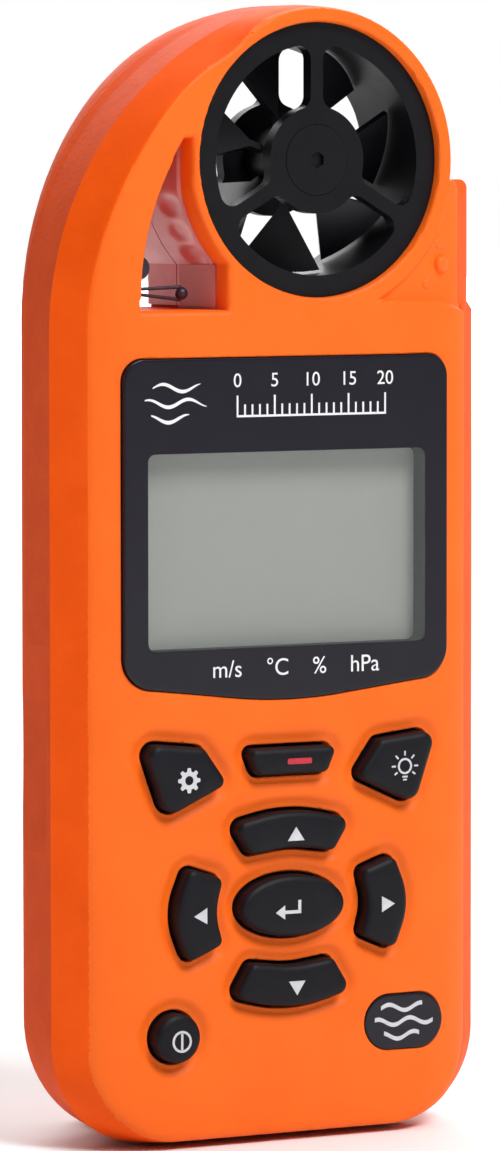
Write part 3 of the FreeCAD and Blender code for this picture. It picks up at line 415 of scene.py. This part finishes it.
# ------------------------------------------------------------------ outlines of the openings in the front
KEYS = {
    "key_settings": ([(-18.8, 45.4), (-15.9, 37.1), (-8.3, 40.5), (-11.3, 44.6)], [1.3, 1.5, 0.9, 1.0]),
    "key_backlight": ([(18.8, 45.4), (11.3, 44.6), (8.3, 40.5), (15.9, 37.1)], [1.3, 1.0, 0.9, 1.5]),
    "key_capture": ([(-4.45, 41.2), (4.45, 41.2), (5.75, 44.2), (-5.75, 44.2)], [0.9, 0.9, 0.7, 0.7]),
    "key_up": ([(-5.3, 32.35), (0.0, 33.05), (5.3, 32.35), (7.6, 35.9), (0.0, 37.45), (-7.6, 35.9)],
               [0.9, 14.0, 0.9, 1.1, 20.0, 1.1]),
    "key_down": ([(-7.6, 16.45), (0.0, 14.5), (7.6, 16.45), (5.2, 20.25), (0.0, 19.6), (-5.2, 20.25)],
                 [1.1, 18.0, 1.1, 0.9, 14.0, 0.9]),
    "key_left": ([(-13.2, 31.35), (-15.35, 26.1), (-13.2, 20.75), (-8.9, 22.6), (-9.9, 26.2), (-8.9, 29.9)],
                 [1.0, 7.5, 1.0, 0.8, 6.5, 0.8]),
    "key_right": ([(13.2, 31.35), (8.9, 29.9), (9.9, 26.2), (8.9, 22.6), (13.2, 20.75), (15.35, 26.1)],
                  [1.0, 0.8, 6.5, 0.8, 1.0, 7.5]),
}


def ell(d, n=96):
    return [((6.6 + d) * math.cos(2 * math.pi * i / n), 26.4 + (3.45 + d) * math.sin(2 * math.pi * i / n)) for i in range(n)]


def key_loop(name, d=0.0):
    if name == "key_enter":
        return ell(d)
    if name == "key_power":
        return circle(-14.6, 12.4, 2.75 + d, 64)
    Pq, R = KEYS[name]
    return rounded(Pq, R, 0.28, d)


KEY_NAMES = list(KEYS) + ["key_enter", "key_power"]


def stadium(d, step=0.3):
    x, z, w, h = 15.0, 12.3, 10.2, 6.35
    r, e = h / 2 + d, w / 2 - h / 2
    out = seg_line((x - e, z - r), (x + e, z - r), 10) + seg_arc((x + e, z - r), (x + e + r, z), (x + e, z + r), 36)
    out += seg_line((x + e, z + r), (x - e, z + r), 10) + seg_arc((x - e, z + r), (x - e - r, z), (x - e, z - r), 36)
    return out


def lens_loop(d, step=0.35):
    return rounded([(-20.75, 51.55), (0.0, 49.1), (20.75, 51.55), (20.75, 87.84), (-20.75, 87.84)], [3.6, 60.0, 3.6, 2.5, 2.5], step, d)


def view_loop(d=0.0):
    return rounded([(-17.79, 55.44), (17.79, 55.44), (17.79, 77.31), (-17.79, 77.31)], [0.9] * 4, 0.3, d)


def window_loop():
    r, x1, x2, top, foot = 16.6, -12.0, -7.65, 112.1, 93.1
    z1, z2 = RZ - math.sqrt(r * r - (x1 - RX) ** 2), RZ - math.sqrt(r * r - (x2 - RX) ** 2)
    am = (math.atan2(z1 - RZ, x1 - RX) + math.atan2(z2 - RZ, x2 - RX)) / 2
    lp = seg_arc((-18.3, foot), (-17.0, 103.5), (-12.85, top), 70) + seg_line((-12.85, top), (x1, top), 3) + seg_line((x1, top), (x1, z1), 18)
    lp += seg_arc((x1, z1), (RX + r * math.cos(am), RZ + r * math.sin(am)), (x2, z2), 34) + seg_line((x2, z2), (x2, foot), 18)
    lp += seg_line((x2, foot), (-18.3, foot), 36)
    return lp[::-1]


PART = outline(27.2, 0.0, 10.6, 17.33, rl=11.9)
CREASE = outline(24.15, 0.6, 10.25, 17.05)
# the shoulder bites into the bore's lip at the upper left
_c = []
for px, pz in CREASE:
    r_, a_ = math.hypot(px - RX, pz - RZ), math.degrees(math.atan2(pz - RZ, px - RX))
    cut_ = 0.85 * math.exp(-((a_ - 134.0) / 13.0) ** 2) if a_ > 60 else 0.0
    _c.append((RX + (px - RX) * (r_ - cut_) / r_, RZ + (pz - RZ) * (r_ - cut_) / r_))
CREASE = _c
HOLES = {n: key_loop(n, 0.3) for n in KEY_NAMES}
HOLES["badge"] = stadium(0.05)
HOLES["lens"] = lens_loop(0.05)
HOLES["ring"] = circle(RX, RZ, 15.35, 240)
HOLES["window"] = window_loop()
ROUND = {"badge": 0.14, "lens": 0.16, "ring": 0.4, "window": 0.75}


# ------------------------------------------------------------------ front case: one moulded skin with real thickness
BUMPS = ((20.6, 97.9, 1.0, 0.72), (20.2, 100.2, 0.55, 0.22), (20.95, 99.9, 0.4, 0.16), (18.4, 95.6, 0.5, 0.2), (18.9, 96.0, 0.4, 0.14))


def head_foot(x):
    """Height of the step under the recessed head, dipping towards the right side."""
    return 94.0 - 1.25 * np.clip((x - 17.5) / 6.0, 0, 1) ** 1.6


def face_height(pts):
    """Depth of the front surface (mm behind the window plane) at each point, without the edge radii."""
    x, z = pts[:, 0], pts[:, 1]
    main = 2.116 * (np.abs(x) / 24.15) ** 8
    r = np.hypot(x - RX, z - RZ)
    # flat lip round the impeller bore, then a recess in the corner to its right
    y = main + (0.10 - main) * (1 - sstep(16.9, 17.9, r)) * sstep(-16.0, -4.0, x - 0.0 * z)
    hf = head_foot(x)
    rec = 0.75 * sstep(hf - 0.25, hf + 0.25, z) * sstep(17.0, 17.75, r) * sstep(4.0, 8.0, x)
    y = y + rec
    for cx, cz_, rad, h in BUMPS:
        q = np.hypot(x - cx, z - cz_) / rad
        y = y - h * np.sqrt(np.clip(1 - np.clip(q, 0, 1) ** 2.4, 0, 1))
    return y


def front_depth(pts):
    y = face_height(pts)
    # shoulder towards the parting line
    dc, jc = dist_loop(pts, CREASE)
    inside = in_loop(pts, CREASE)
    sd = np.where(inside, -dc, dc)
    dp, _ = dist_loop(pts, PART)
    cr, pr = np.array(CREASE), np.array(PART)
    width = np.linalg.norm(pr - cr, axis=1)
    dpc, _ = dist_loop(cr, PART)
    W = np.where(inside, np.minimum(width[jc], dpc[jc] + 0.02), dc + dp) + 1e-3
    W = np.maximum(W, 0.2)
    ycr = face_height(cr)[jc]
    w = np.minimum(0.10 + 0.25 * np.clip((14.0 - pts[:, 1]) / 14.0, 0, 1), 0.2 * W)
    slope = (5.5 - np.minimum(ycr, 5.0)) / W
    add = slope * w * np.log1p(np.exp(np.clip(sd / w, -30, 30)))
    base = np.where(inside, y, ycr)
    y = np.minimum(base + add, 5.5)
    y = np.where(dp < 1e-4, 5.5, y)
    # recessed halo round each key and edge radius at every opening
    for n, lp in HOLES.items():
        if n.startswith("key_"):
            d, _ = dist_loop(pts, lp, 3.0)
            y = y + 0.5 * np.exp(-(np.clip(d - 0.35, 0, 9) / 0.85) ** 2)
            re = 0.2
        else:
            re = ROUND[n]
            d, _ = dist_loop(pts, lp, 3.0)
            if n == "window":   # the inner edge is rolled more than the outer one
                re = np.where((pts[:, 0] > -14.5) | (pts[:, 1] < 94.5), 0.75, 0.3)
        q = np.clip(1 - d / re, 0, 1)
        y = y + re * (1 - np.sqrt(np.clip(1 - q * q, 0, 1)))
    return np.minimum(y, 5.5)


def build_front():
    extra = []
    gx = np.arange(-26.8, 27.0, 0.75)
    gz = np.arange(0.4, 127.0, 0.75)
    X, Z = np.meshgrid(gx, gz)
    X = X + (np.arange(len(gz)) % 2)[:, None] * 0.37
    grid = np.stack([X.ravel(), Z.ravel()], 1)
    ring_pts = []
    cr, pr = np.array(CREASE), np.array(PART)
    for t in (-0.30, -0.2, -0.12, -0.07, -0.035, 0.0, 0.035, 0.07, 0.12, 0.2, 0.3, 0.5, 0.75, 0.92):
        lp = cr + (pr - cr) * t
        ring_pts.append(lp[::1])
    for n, lp in HOLES.items():
        re = 0.22 if n.startswith("key_") else ROUND[n]
        offs = [re * k for k in (0.08, 0.25, 0.5, 0.78, 1.0)]
        if n.startswith("key_"):
            offs += [0.4, 0.6, 0.8, 1.05, 1.3, 1.6, 1.9, 2.3]
        elif n in ("ring",):
            offs += [0.7, 1.0, 1.25, 1.5, 1.7, 1.9, 2.1, 2.3, 2.5, 2.8]
        else:
            offs += [re * 1.5, 0.8]
        for d in offs:
            ring_pts.append(np.array(shift(lp if n != "window" else lp, d)))
    for zz in (-0.4, -0.27, -0.18, -0.09, 0.0, 0.09, 0.18, 0.27, 0.4):
        xs = np.arange(3.0, 27.0, 0.4)
        ring_pts.append(np.stack([xs, head_foot(xs) + zz], 1))
    for cx, cz_, rad, _h in BUMPS:
        for k in (0.0, 0.25, 0.5, 0.7, 0.85, 0.95, 1.0, 1.08):
            ring_pts.append(np.array(circle(cx, cz_, max(rad * k, 0.02), 28)))
    pts_extra = np.concatenate(ring_pts + [grid])
    names = list(HOLES)
    pts, tri, nb = region(PART, [HOLES[n] for n in names], pts_extra, keep=0.10)
    y = front_depth(pts)
    b = Build()
    b.v = [P3(p[0], yy, p[1]) for p, yy in zip(pts, y)]
    b.f = [tuple(t) for t in tri]
    ids = find_loop(pts, PART)
    for i in ids:
        b.v[i] = P3(pts[i][0], 5.5, pts[i][1])
    # walls of the openings, the cavity, and the rim that meets the rear case
    cav = rounded([(-22.5, 3.6), (22.5, 3.6), (22.5, 91.0), (-22.5, 91.0)], [8.0, 8.0, 2.0, 2.0], 0.8)
    inner, inner_ids = [], []
    for n in names:
        lp = HOLES[n]
        top = find_loop(pts, lp)
        if n in ("ring", "window"):
            low = b.loop(lp, 5.5)
            b.strip(top, low)
            if n == "ring":
                ring_low = low
            else:
                win_low = low
        elif n in ("lens", "badge"):
            seat = 1.24 if n == "lens" else 0.7
            low = b.loop(lp, seat)
            b.strip(top, low)
            if n == "badge":
                b.cap(lp, low, y=seat)
            else:
                hole = rounded([(-18.6, 54.6), (18.6, 54.6), (18.6, 78.1), (-18.6, 78.1)], [0.6] * 4, 0.5)
                h1 = b.loop(hole, seat)
                b.cap(lp, low, [hole], [h1], y=seat)
                h2 = b.loop(hole, 2.1)
                b.strip(h1, h2)
                inner.append(hole)
                inner_ids.append(h2)
        else:
            low = b.loop(lp, 2.1)
            b.strip(top, low)
            inner.append(lp)
            inner_ids.append(low)
    c1, c2 = b.loop(cav, 2.1), b.loop(cav, 5.5)
    b.cap(cav, c1, inner, inner_ids, y=2.1)
    b.strip(c1, c2)
    b.cap(PART, ids, [cav, HOLES["ring"], HOLES["window"]], [c2, ring_low, win_low], y=5.5)
    o = new_object("front_case_skin", b.v, b.f, ORANGE, angle=38)
    # faces outside the crease take the shoulder orange, darker by painted shade
    o.data.materials.append(ORANGE_SHOULDER_SHADED)
    cc = np.array([p.center[:] for p in o.data.polygons]) * 1000.0
    out_ = ~in_loop(cc[:, [0, 2]], CREASE)
    o.data.polygons.foreach_set("material_index", out_.astype(np.int32))
    return o


front = build_front()
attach(front, "case")
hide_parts("front_case")

# ------------------------------------------------------------------ keys
def key_piece(name):
    lp = key_loop(name)
    dome = 0.0
    top = -1.40
    b = Build()
    prev = b.loop(shift(lp, 0.8), 3.1)
    bottom = prev
    bl = shift(lp, 0.8)
    nxt = b.loop(shift(lp, 0.8), 2.42)
    b.strip(prev, nxt)
    prev = nxt
    prof = [(0.0, 2.42), (0.0, -0.72), (-0.03, -0.88), (-0.10, -1.03), (-0.21, -1.16), (-0.36, -1.26), (-0.52, -1.33), (-0.66, -1.37)]
    for off, y in prof:
        nxt = b.loop(shift(lp, off), y)
        b.strip(prev, nxt)
        prev = nxt
    rim = shift(lp, -0.66)
    g = np.array(rim)
    cx, cz_ = g.mean(0)
    lo, hi = g.min(0), g.max(0)
    X, Z = np.meshgrid(np.arange(lo[0], hi[0], 0.45), np.arange(lo[1], hi[1], 0.45))
    ex = np.stack([X.ravel(), Z.ravel()], 1)
    dd, _ = dist_loop(ex, rim)
    rise = 0.09 if name != "key_enter" else 0.115

    def fn(x, z):
        d, _ = dist_loop(np.array([[x, z]]), rim)
        return -1.37 - rise * float(1 - math.exp(-d[0] / 0.5))
    b.cap(rim, prev, y=-1.4, extra=ex[dd > 0.2], fn=fn)
    b.cap(bl, bottom, y=3.1)
    o = new_object(name + "_cap", b.v, b.f, KEY, angle=50)
    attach(o, name)
    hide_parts(name)
    return o


for n in KEY_NAMES:
    key_piece(n)


# ------------------------------------------------------------------ printed marks: thin plates just proud of the surface they sit on
def plate(name, polys, y, body, mat, thick=0.035):
    """polys: list of (outer loop, [hole loops]) in mm."""
    b = Build()
    for outer, holes in polys:
        f = b.loop(outer, y)
        k = b.loop(outer, y + thick)
        hf = [b.loop(h, y) for h in holes]
        hk = [b.loop(h, y + thick) for h in holes]
        b.cap(outer, f, holes, hf, y=y)
        b.cap(outer, k, holes, hk, y=y + thick)
        b.strip(f, k)
        for a, c in zip(hf, hk):
            b.strip(a, c)
    o = new_object(name, b.v, b.f, mat, angle=30)
    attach(o, body)
    return o


def bar(x0, z0, x1, z1, w):
    dx, dz = x1 - x0, z1 - z0
    l = math.hypot(dx, dz)
    nx, nz = -dz / l * w / 2, dx / l * w / 2
    return ([(x0 - nx, z0 - nz), (x1 - nx, z1 - nz), (x1 + nx, z1 + nz), (x0 + nx, z0 + nz)], [])


def poly(pts):
    return (list(pts), [])


YK = -1.487
gx_, gz_ = -13.5, 41.15
outer = []
for i in range(96):
    a = 2 * math.pi * i / 96
    tooth = 0.5 + 0.5 * math.tanh(7 * math.cos(8 * a))
    r = 1.02 + 0.38 * tooth
    outer.append((gx_ + r * math.cos(a), gz_ + r * math.sin(a)))
plate("mark_settings", [(outer, [circle(gx_, gz_, 0.52, 40)])], YK, "key_settings", PRINT_GREY)
plate("mark_capture", [poly(rounded([(-0.95, 42.35), (2.15, 42.35), (2.15, 43.0), (-0.95, 43.0)], [0.12] * 4, 0.1))], YK, "key_capture", PRINT_RED)
bx_, bz_ = 14.25, 41.2
ring_o, ring_i = circle(bx_, bz_ + 0.25, 0.92, 48), circle(bx_, bz_ + 0.25, 0.68, 48)
P_ = [(ring_o, [ring_i])]
P_ += [bar(bx_ - 0.34, bz_ - 0.95, bx_ + 0.34, bz_ - 0.95, 0.2), bar(bx_ - 0.24, bz_ - 1.28, bx_ + 0.24, bz_ - 1.28, 0.18)]
for a in (0, 45, 90, 135, 180):
    c, s = math.cos(math.radians(a)), math.sin(math.radians(a))
    P_.append(bar(bx_ + 1.2 * c, bz_ + 0.25 + 1.2 * s, bx_ + 1.72 * c, bz_ + 0.25 + 1.72 * s, 0.2))
for a in (-35, 215):
    c, s = math.cos(math.radians(a)), math.sin(math.radians(a))
    P_.append(bar(bx_ + 1.2 * c, bz_ + 0.25 + 1.2 * s, bx_ + 1.65 * c, bz_ + 0.25 + 1.65 * s, 0.2))
plate("mark_backlight", P_, YK, "key_backlight", PRINT_GREY)
plate("mark_up", [poly([(-0.95, 33.75), (1.2, 33.75), (0.13, 35.3)])], YK, "key_up", PRINT_GREY)
plate("mark_down", [poly([(0.25, 16.35), (1.3, 17.95), (-0.8, 17.95)])], YK, "key_down", PRINT_GREY)
plate("mark_left", [poly([(-12.9, 25.95), (-11.25, 25.05), (-11.25, 26.85)])], YK, "key_left", PRINT_GREY)
plate("mark_right", [poly([(11.25, 25.05), (12.95, 25.95), (11.25, 26.85)])], YK, "key_right", PRINT_GREY)
ex_, ez_ = -0.85, 26.1
plate("mark_enter", [poly([(ex_ - 1.65, ez_ - 0.33), (ex_ - 0.45, ez_ - 1.13), (ex_ - 0.45, ez_ - 0.52), (ex_ + 1.62, ez_ - 0.52), (ex_ + 1.62, ez_ + 0.98),
                           (ex_ + 1.22, ez_ + 0.98), (ex_ + 1.22, ez_ - 0.14), (ex_ - 0.45, ez_ - 0.14), (ex_ - 0.45, ez_ + 0.47)])], YK, "key_enter", PRINT_GREY)
px_, pz_ = -14.45, 12.1
plate("mark_power", [(circle(px_, pz_, 1.22, 56), [circle(px_, pz_, 0.95, 56)]), bar(px_, pz_ - 0.9, px_, pz_ + 0.9, 0.28)], YK, "key_power", PRINT_GREY)

# ------------------------------------------------------------------ display: printed border, inner walls, clear window
def build_lens():
    o_l, v_l = lens_loop(-0.05), view_loop()
    b = Build()
    back = b.loop(o_l, 1.18)
    prev = back
    for off, y in ((0.0, 0.16), (-0.03, 0.09), (-0.09, 0.04), (-0.18, 0.02)):
        nxt = b.loop(shift(o_l, off), y)
        b.strip(prev, nxt)
        prev = nxt
    edge = shift(o_l, -0.18)
    v0 = b.loop(v_l, 0.02)
    gxx, gzz = np.meshgrid(np.arange(-21.0, 21.0, 1.1), np.arange(49.0, 88.5, 1.1))
    ex = np.concatenate([np.array(shift(o_l, -0.24)), np.array(shift(o_l, -0.34)), np.array(shift(o_l, -0.5)), np.array(view_loop(0.12)),
                         np.stack([gxx.ravel(), gzz.ravel()], 1)])
    b.cap(edge, prev, [v_l], [v0], y=0.02, extra=ex)
    v1 = b.loop(v_l, 1.18)
    b.strip(v0, v1)
    b.cap(o_l, back, [v_l], [v1], y=1.18)
    o = new_object("display_border", b.v, b.f, LENS, angle=40)
    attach(o, "case")
    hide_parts("display_lens")
    # clear window, let in flush
    b = Build()
    w = view_loop(-0.01)
    f, k = b.loop(w, 0.03), b.loop(w, 0.09)
    b.cap(w, f, y=0.03)
    b.cap(w, k, y=0.09)
    b.strip(f, k)
    o = new_object("display_window", b.v, b.f, WINDOW, angle=40)
    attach(o, "case")
    # dark walls between window and panel: the frame's black, made near-black and matte as painted shade in the recess
    b = Build()
    a0, a1 = view_loop(-0.03), view_loop(0.35)
    i0, i1 = b.loop(a0, 0.10), b.loop(a0, 2.62)
    j0, j1 = b.loop(a1, 1.2), b.loop(a1, 2.62)
    b.strip(i0, i1)
    b.strip(j0, j1)
    b.strip(i0, b.loop(view_loop(-0.012), 0.10))
    m0 = b.loop(view_loop(-0.012), 1.2)
    b.strip(list(range(len(b.v) - 2 * len(a0), len(b.v) - len(a0))), m0)
    b.cap(a1, j0, [view_loop(-0.012)], [m0], y=1.2)
    b.cap(a1, j1, [a0], [i1], y=2.62)
    o = new_object("display_recess_walls", b.v, b.f, RECESS_BLACK_SHADED, angle=40)
    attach(o, "case")


build_lens()


def text_piece(name, body_text, x, z, size, y, mat, width=None, shear=0.0):
    cu = bpy.data.curves.new(name, "FONT")
    cu.body = body_text
    cu.size = size / 1000.0
    cu.align_x = "CENTER"
    cu.align_y = "CENTER"
    cu.extrude = 0.000008
    cu.shear = shear
    cu.resolution_u = 6
    t = bpy.data.objects.new(name + "_t", cu)
    bpy.context.scene.collection.objects.link(t)
    t.matrix_world = Matrix.Translation(P3(x, y, z)) @ Matrix.Rotation(math.radians(90), 4, "X")
    bpy.context.view_layer.update()
    me = bpy.data.meshes.new_from_object(t.evaluated_get(bpy.context.evaluated_depsgraph_get()))
    me.transform(t.matrix_world)
    bpy.data.objects.remove(t)
    me.name = name
    o = bpy.data.objects.new(name, me)
    bpy.context.scene.collection.objects.link(o)
    me.materials.clear()
    me.materials.append(mat)
    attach(o, "case")
    return o


YL = -0.006
wave = []
for k, (zz, x0, x1) in enumerate(((84.6, -17.2, -11.2), (82.9, -18.2, -10.4), (81.2, -17.4, -12.6))):
    n = 44
    up, dn = [], []
    for i in range(n + 1):
        t = i / n
        x = x0 + (x1 - x0) * t
        c = zz + 0.42 * math.sin(t * (x1 - x0) * 1.25 + k)
        w = 0.42 * math.sin(math.pi * min(1, max(0.03, t * 0.94 + 0.05))) ** 0.6
        up.append((x, c + w / 2))
        dn.append((x, c - w / 2))
    wave.append((dn + up[::-1], []))
plate("mark_wind", wave, YL, "case", PRINT, thick=0.03)
ticks = []
for i in range(21):
    x = -6.5 + i * 0.95
    h = 2.2 if i % 5 == 0 else 1.2
    ticks.append(bar(x, 81.4, x, 81.4 + h, 0.22))
ticks.append(bar(-6.61, 81.3, 12.61, 81.3, 0.24))
plate("mark_scale", ticks, YL, "case", PRINT, thick=0.03)
for i, s in enumerate(("0", "5", "10", "15", "20")):
    text_piece("mark_number_%d" % i, s, -6.5 + i * 4.75, 85.2, 2.2, YL, PRINT)
text_piece("mark_units", "m/s    °C    %    hPa", 1.0, 53.1, 2.7, YL, PRINT)

# badge: plain dark inlay with three wind lines
b = Build()
s_l = stadium(-0.05)
back = b.loop(s_l, 0.66)
prev = back
for off, y in ((0.0, 0.12), (-0.03, 0.06), (-0.10, 0.03)):
    nxt = b.loop(shift(s_l, off), y)
    b.strip(prev, nxt)
    prev = nxt
b.cap(shift(s_l, -0.10), prev, y=0.03, extra=np.concatenate([np.array(shift(s_l, -0.16)), np.array(shift(s_l, -0.3))]))
b.cap(s_l, back, y=0.66)
badge = new_object("badge_plate", b.v, b.f, LENS, angle=40)
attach(badge, "case")
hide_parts("badge_inlay")
bw = []
for k, (zz, x0, x1) in enumerate(((13.9, 12.0, 17.4), (12.3, 11.2, 18.8), (10.7, 12.4, 17.0))):
    up, dn = [], []
    n = 40
    for i in range(n + 1):
        t = i / n
        x = x0 + (x1 - x0) * t
        c = zz + 0.36 * math.sin(t * (x1 - x0) * 1.5 + k)
        up.append((x, c + 0.24))
        dn.append((x, c - 0.24))
    bw.append((dn + up[::-1], []))
plate("mark_badge", bw, 0.0, "case", PRINT_GREY, thick=0.03)

# ------------------------------------------------------------------ smooth sheet on the inner wall of the sensor window, tinted pink as painted reflection of the white surroundings on the orange wall
def build_wall_reflection():
    path = [(-12.0, 111.6 - 0.25 * i) for i in range(20)]
    z1, z2 = RZ - math.sqrt(16.6 ** 2 - (-12.0 - RX) ** 2), RZ - math.sqrt(16.6 ** 2 - (-7.65 - RX) ** 2)
    a0, a1 = math.atan2(z1 - RZ, -12.0 - RX), math.atan2(z2 - RZ, -7.65 - RX)
    path += [(RX + 16.6 * math.cos(a0 + (a1 - a0) * i / 60), RZ + 16.6 * math.sin(a0 + (a1 - a0) * i / 60)) for i in range(61)]
    path += [(-7.65, z2 - 0.25 * i) for i in range(1, 20)]
    a = np.array(path)
    t = np.gradient(a, axis=0)
    t /= np.linalg.norm(t, axis=1)[:, None]
    nrm = np.stack([t[:, 1], -t[:, 0]], 1)
    nrm *= np.sign((nrm * np.array([-1.0, 0.2])).sum(1))[:, None]
    s_ = np.concatenate([[0], np.cumsum(np.linalg.norm(np.diff(a, axis=0), axis=1))])
    ys = np.concatenate([np.linspace(2.95, 11.05, 40), [11.1, 11.14, 11.2, 11.26, 11.3], np.linspace(11.4, 17.9, 20)])
    V, F = [], []
    m = len(ys)
    for i in range(len(a)):
        for y in ys:
            h = 0.42
            for zc in (104.7, 101.9, 99.3):
                k = ((a[i][1] - zc) / 1.05) ** 2 + ((y - 5.6) / 2.1) ** 2
                h -= 0.36 * math.exp(-k ** 2)
            if 11.12 < y < 11.28:
                h -= 0.2
            h *= min(1.0, (y - 2.9) / 0.25 + 0.15)
            p = a[i] + nrm[i] * max(h, 0.03)
            V.append(P3(p[0], y, p[1]))
    for i in range(len(a)):
        for y in ys:
            p = a[i] + nrm[i] * 0.012
            V.append(P3(p[0], y, p[1]))
    n0 = len(a) * m
    for i in range(len(a) - 1):
        for j in range(m - 1):
            q = (i * m + j, i * m + j + 1, (i + 1) * m + j + 1, (i + 1) * m + j)
            F.append(q)
            F.append(tuple(n0 + v for v in q[::-1]))
        for j in (0, m - 1):
            F.append((i * m + j, (i + 1) * m + j, n0 + (i + 1) * m + j, n0 + i * m + j))
    for i in (0, len(a) - 1):
        for j in range(m - 1):
            F.append((i * m + j, i * m + j + 1, n0 + i * m + j + 1, n0 + i * m + j))
    o = new_object("window_wall_painted_reflection", V, F, WALL_REFLECTION_SHEET, angle=35)
    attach(o, "case")


build_wall_reflection()

# ------------------------------------------------------------------ CAD nodes that stay: their finish
# rear case and battery door use the textured orange that carries painted shade
FINISH = {
    "rear_case": ORANGE_TEXTURED_SHADED, "battery_door": ORANGE_TEXTURED_SHADED, "case_seal": RUBBER, "lens_gasket": RUBBER, "lcd_panel": LCD, "lcd_frame": WHITE,
    "backlight_panel": WHITE, "display_flex": BRASS, "main_board": BOARD, "board_chips": CHIP, "radio_module": STEEL, "pressure_sensor": STEEL,
    "compass_sensor": CHIP, "beeper": CHIP, "keypad_membrane": KEY, "switch_domes": STEEL, "board_screws": STEEL,
    "impeller_guard_front": IMP, "impeller_guard_rear": IMP, "hub_cap": IMP, "bearing_front": JEWEL, "bearing_rear": JEWEL,
    "impeller_shaft": STEEL, "impeller_rotor": BLADE, "impeller_magnet": CHIP, "pickup_sensor": CHIP, "thermistor": SENSOR,
    "humidity_sensor": SENSOR, "sensor_carrier": CLEAR, "battery_tray": IMP, "battery": CELL, "contact_positive": STEEL,
    "contact_spring": STEEL, "contact_negative": STEEL, "hinge_pin": STEEL, "door_gasket": RUBBER, "latch_screw": IMP, "latch_cam": STEEL,
    "tripod_insert": BRASS, "case_screws": STEEL,
}
for n, m in FINISH.items():
    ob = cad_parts[n]
    if not ob.material_slots:
        ob.data.materials.append(m)
    for s in ob.material_slots:
        s.link = "OBJECT"
        s.material = m
for n, w in (("impeller_guard_front", 0.14), ("impeller_guard_rear", 0.14), ("rear_case", 0.25), ("battery_door", 0.25), ("impeller_rotor", 0.05), ("hub_cap", 0.08)):
    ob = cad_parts[n]
    bv = ob.modifiers.new("soft_edges", "BEVEL")
    bv.width = w / 1000.0
    bv.segments = 2
    bv.limit_method = "ANGLE"
    bv.angle_limit = math.radians(35)
    bv.harden_normals = False

# ------------------------------------------------------------------ floor, light, camera
fm = bpy.data.meshes.new("floor")
fm.from_pydata([(-4.0 + 2.0 * i, -4.0 + 2.0 * j, -0.0003) for j in range(5) for i in range(5)], [],
               [(j * 5 + i, j * 5 + i + 1, j * 5 + i + 6, j * 5 + i + 5) for j in range(4) for i in range(4)])
floor = bpy.data.objects.new("floor", fm)
bpy.context.scene.collection.objects.link(floor)
floor.data.materials.append(material("floor_pale", srgb(246, 246, 246), srgb(249, 249, 249), rough=0.8, scale=3, bump=0.0001, bump_scale=30))

world = bpy.data.worlds.new("studio")
bpy.context.scene.world = world
world.use_nodes = True
wn = world.node_tree.nodes
tc = wn.new("ShaderNodeTexCoord")
dt = wn.new("ShaderNodeVectorMath")
dt.operation = "DOT_PRODUCT"
dt.inputs[1].default_value = (0.45, 0.89, 0.0)
world.node_tree.links.new(tc.outputs["Generated"], dt.inputs[0])
wr = wn.new("ShaderNodeValToRGB")
wr.color_ramp.elements[0].position = 0.66
wr.color_ramp.elements[0].color = (0.085, 0.085, 0.092, 1)
wr.color_ramp.elements[1].position = 0.84
wr.color_ramp.elements[1].color = (1, 1, 1, 1)
mr_ = wn.new("ShaderNodeMapRange")
mr_.inputs["From Min"].default_value = -1.0
mr_.inputs["From Max"].default_value = 1.0
world.node_tree.links.new(dt.outputs["Value"], mr_.inputs["Value"])
world.node_tree.links.new(mr_.outputs["Result"], wr.inputs["Fac"])
world.node_tree.links.new(wr.outputs["Color"], wn["Background"].inputs[0])
wn["Background"].inputs[1].default_value = 1.0


def area(name, loc, target, size, power, size_y=None, color=(1, 1, 1)):
    li = bpy.data.lights.new(name, "AREA")
    li.energy = power
    li.color = color
    li.size = size
    if size_y:
        li.shape = "RECTANGLE"
        li.size_y = size_y
    o = bpy.data.objects.new(name, li)
    bpy.context.scene.collection.objects.link(o)
    o.location = loc
    o.rotation_euler = (Vector(target) - Vector(loc)).to_track_quat("-Z", "Y").to_euler()
    return o


area("key_light", (0.22, -0.9, 1.1), (0, 0, 0.06), 0.6, 17.5)
area("top_light", (0.0, 0.2, 1.2), (0, 0, 0.0), 0.9, 7.0)
area("floor_light", (1.5, 3.4, 1.3), (1.5, 3.5, 0.0), 3.2, 150.0)

f_, th, ph, roll, Dm, tx, tz, cx0, cy0 = 6508.125633965314, 29.3240315188261, 3.87049613693378, -0.05913052967737807, 724.2256295295915, -5.022468646026614, 62.748740145398756, 249.3613812949516, 582.6249336022316
th, ph, roll = map(math.radians, (th, ph, roll))
back = Vector((-math.sin(th) * math.cos(ph), -math.cos(th) * math.cos(ph), math.sin(ph)))
right = Vector((math.cos(th), -math.sin(th), 0))
up = back.cross(right)
r2 = right * math.cos(roll) + up * math.sin(roll)
u2 = -right * math.sin(roll) + up * math.cos(roll)
C = Vector((tx, 0, tz)) + back * Dm
cam = bpy.data.cameras.new("camera")
cam.sensor_width = 36.0
cam.lens = f_ * 36.0 / 1151.0
cam.shift_x = (250.0 - cx0) / 1151.0
cam.shift_y = (cy0 - 575.5) / 1151.0
cam.clip_start = 0.01
co = bpy.data.objects.new("camera", cam)
bpy.context.scene.collection.objects.link(co)
M = Matrix((r2, u2, back)).transposed().to_4x4()
M.translation = Vector(P3(C.x, C.y, C.z))
co.matrix_world = M
bpy.context.scene.camera = co
bpy.context.scene.view_settings.view_transform = "Standard"
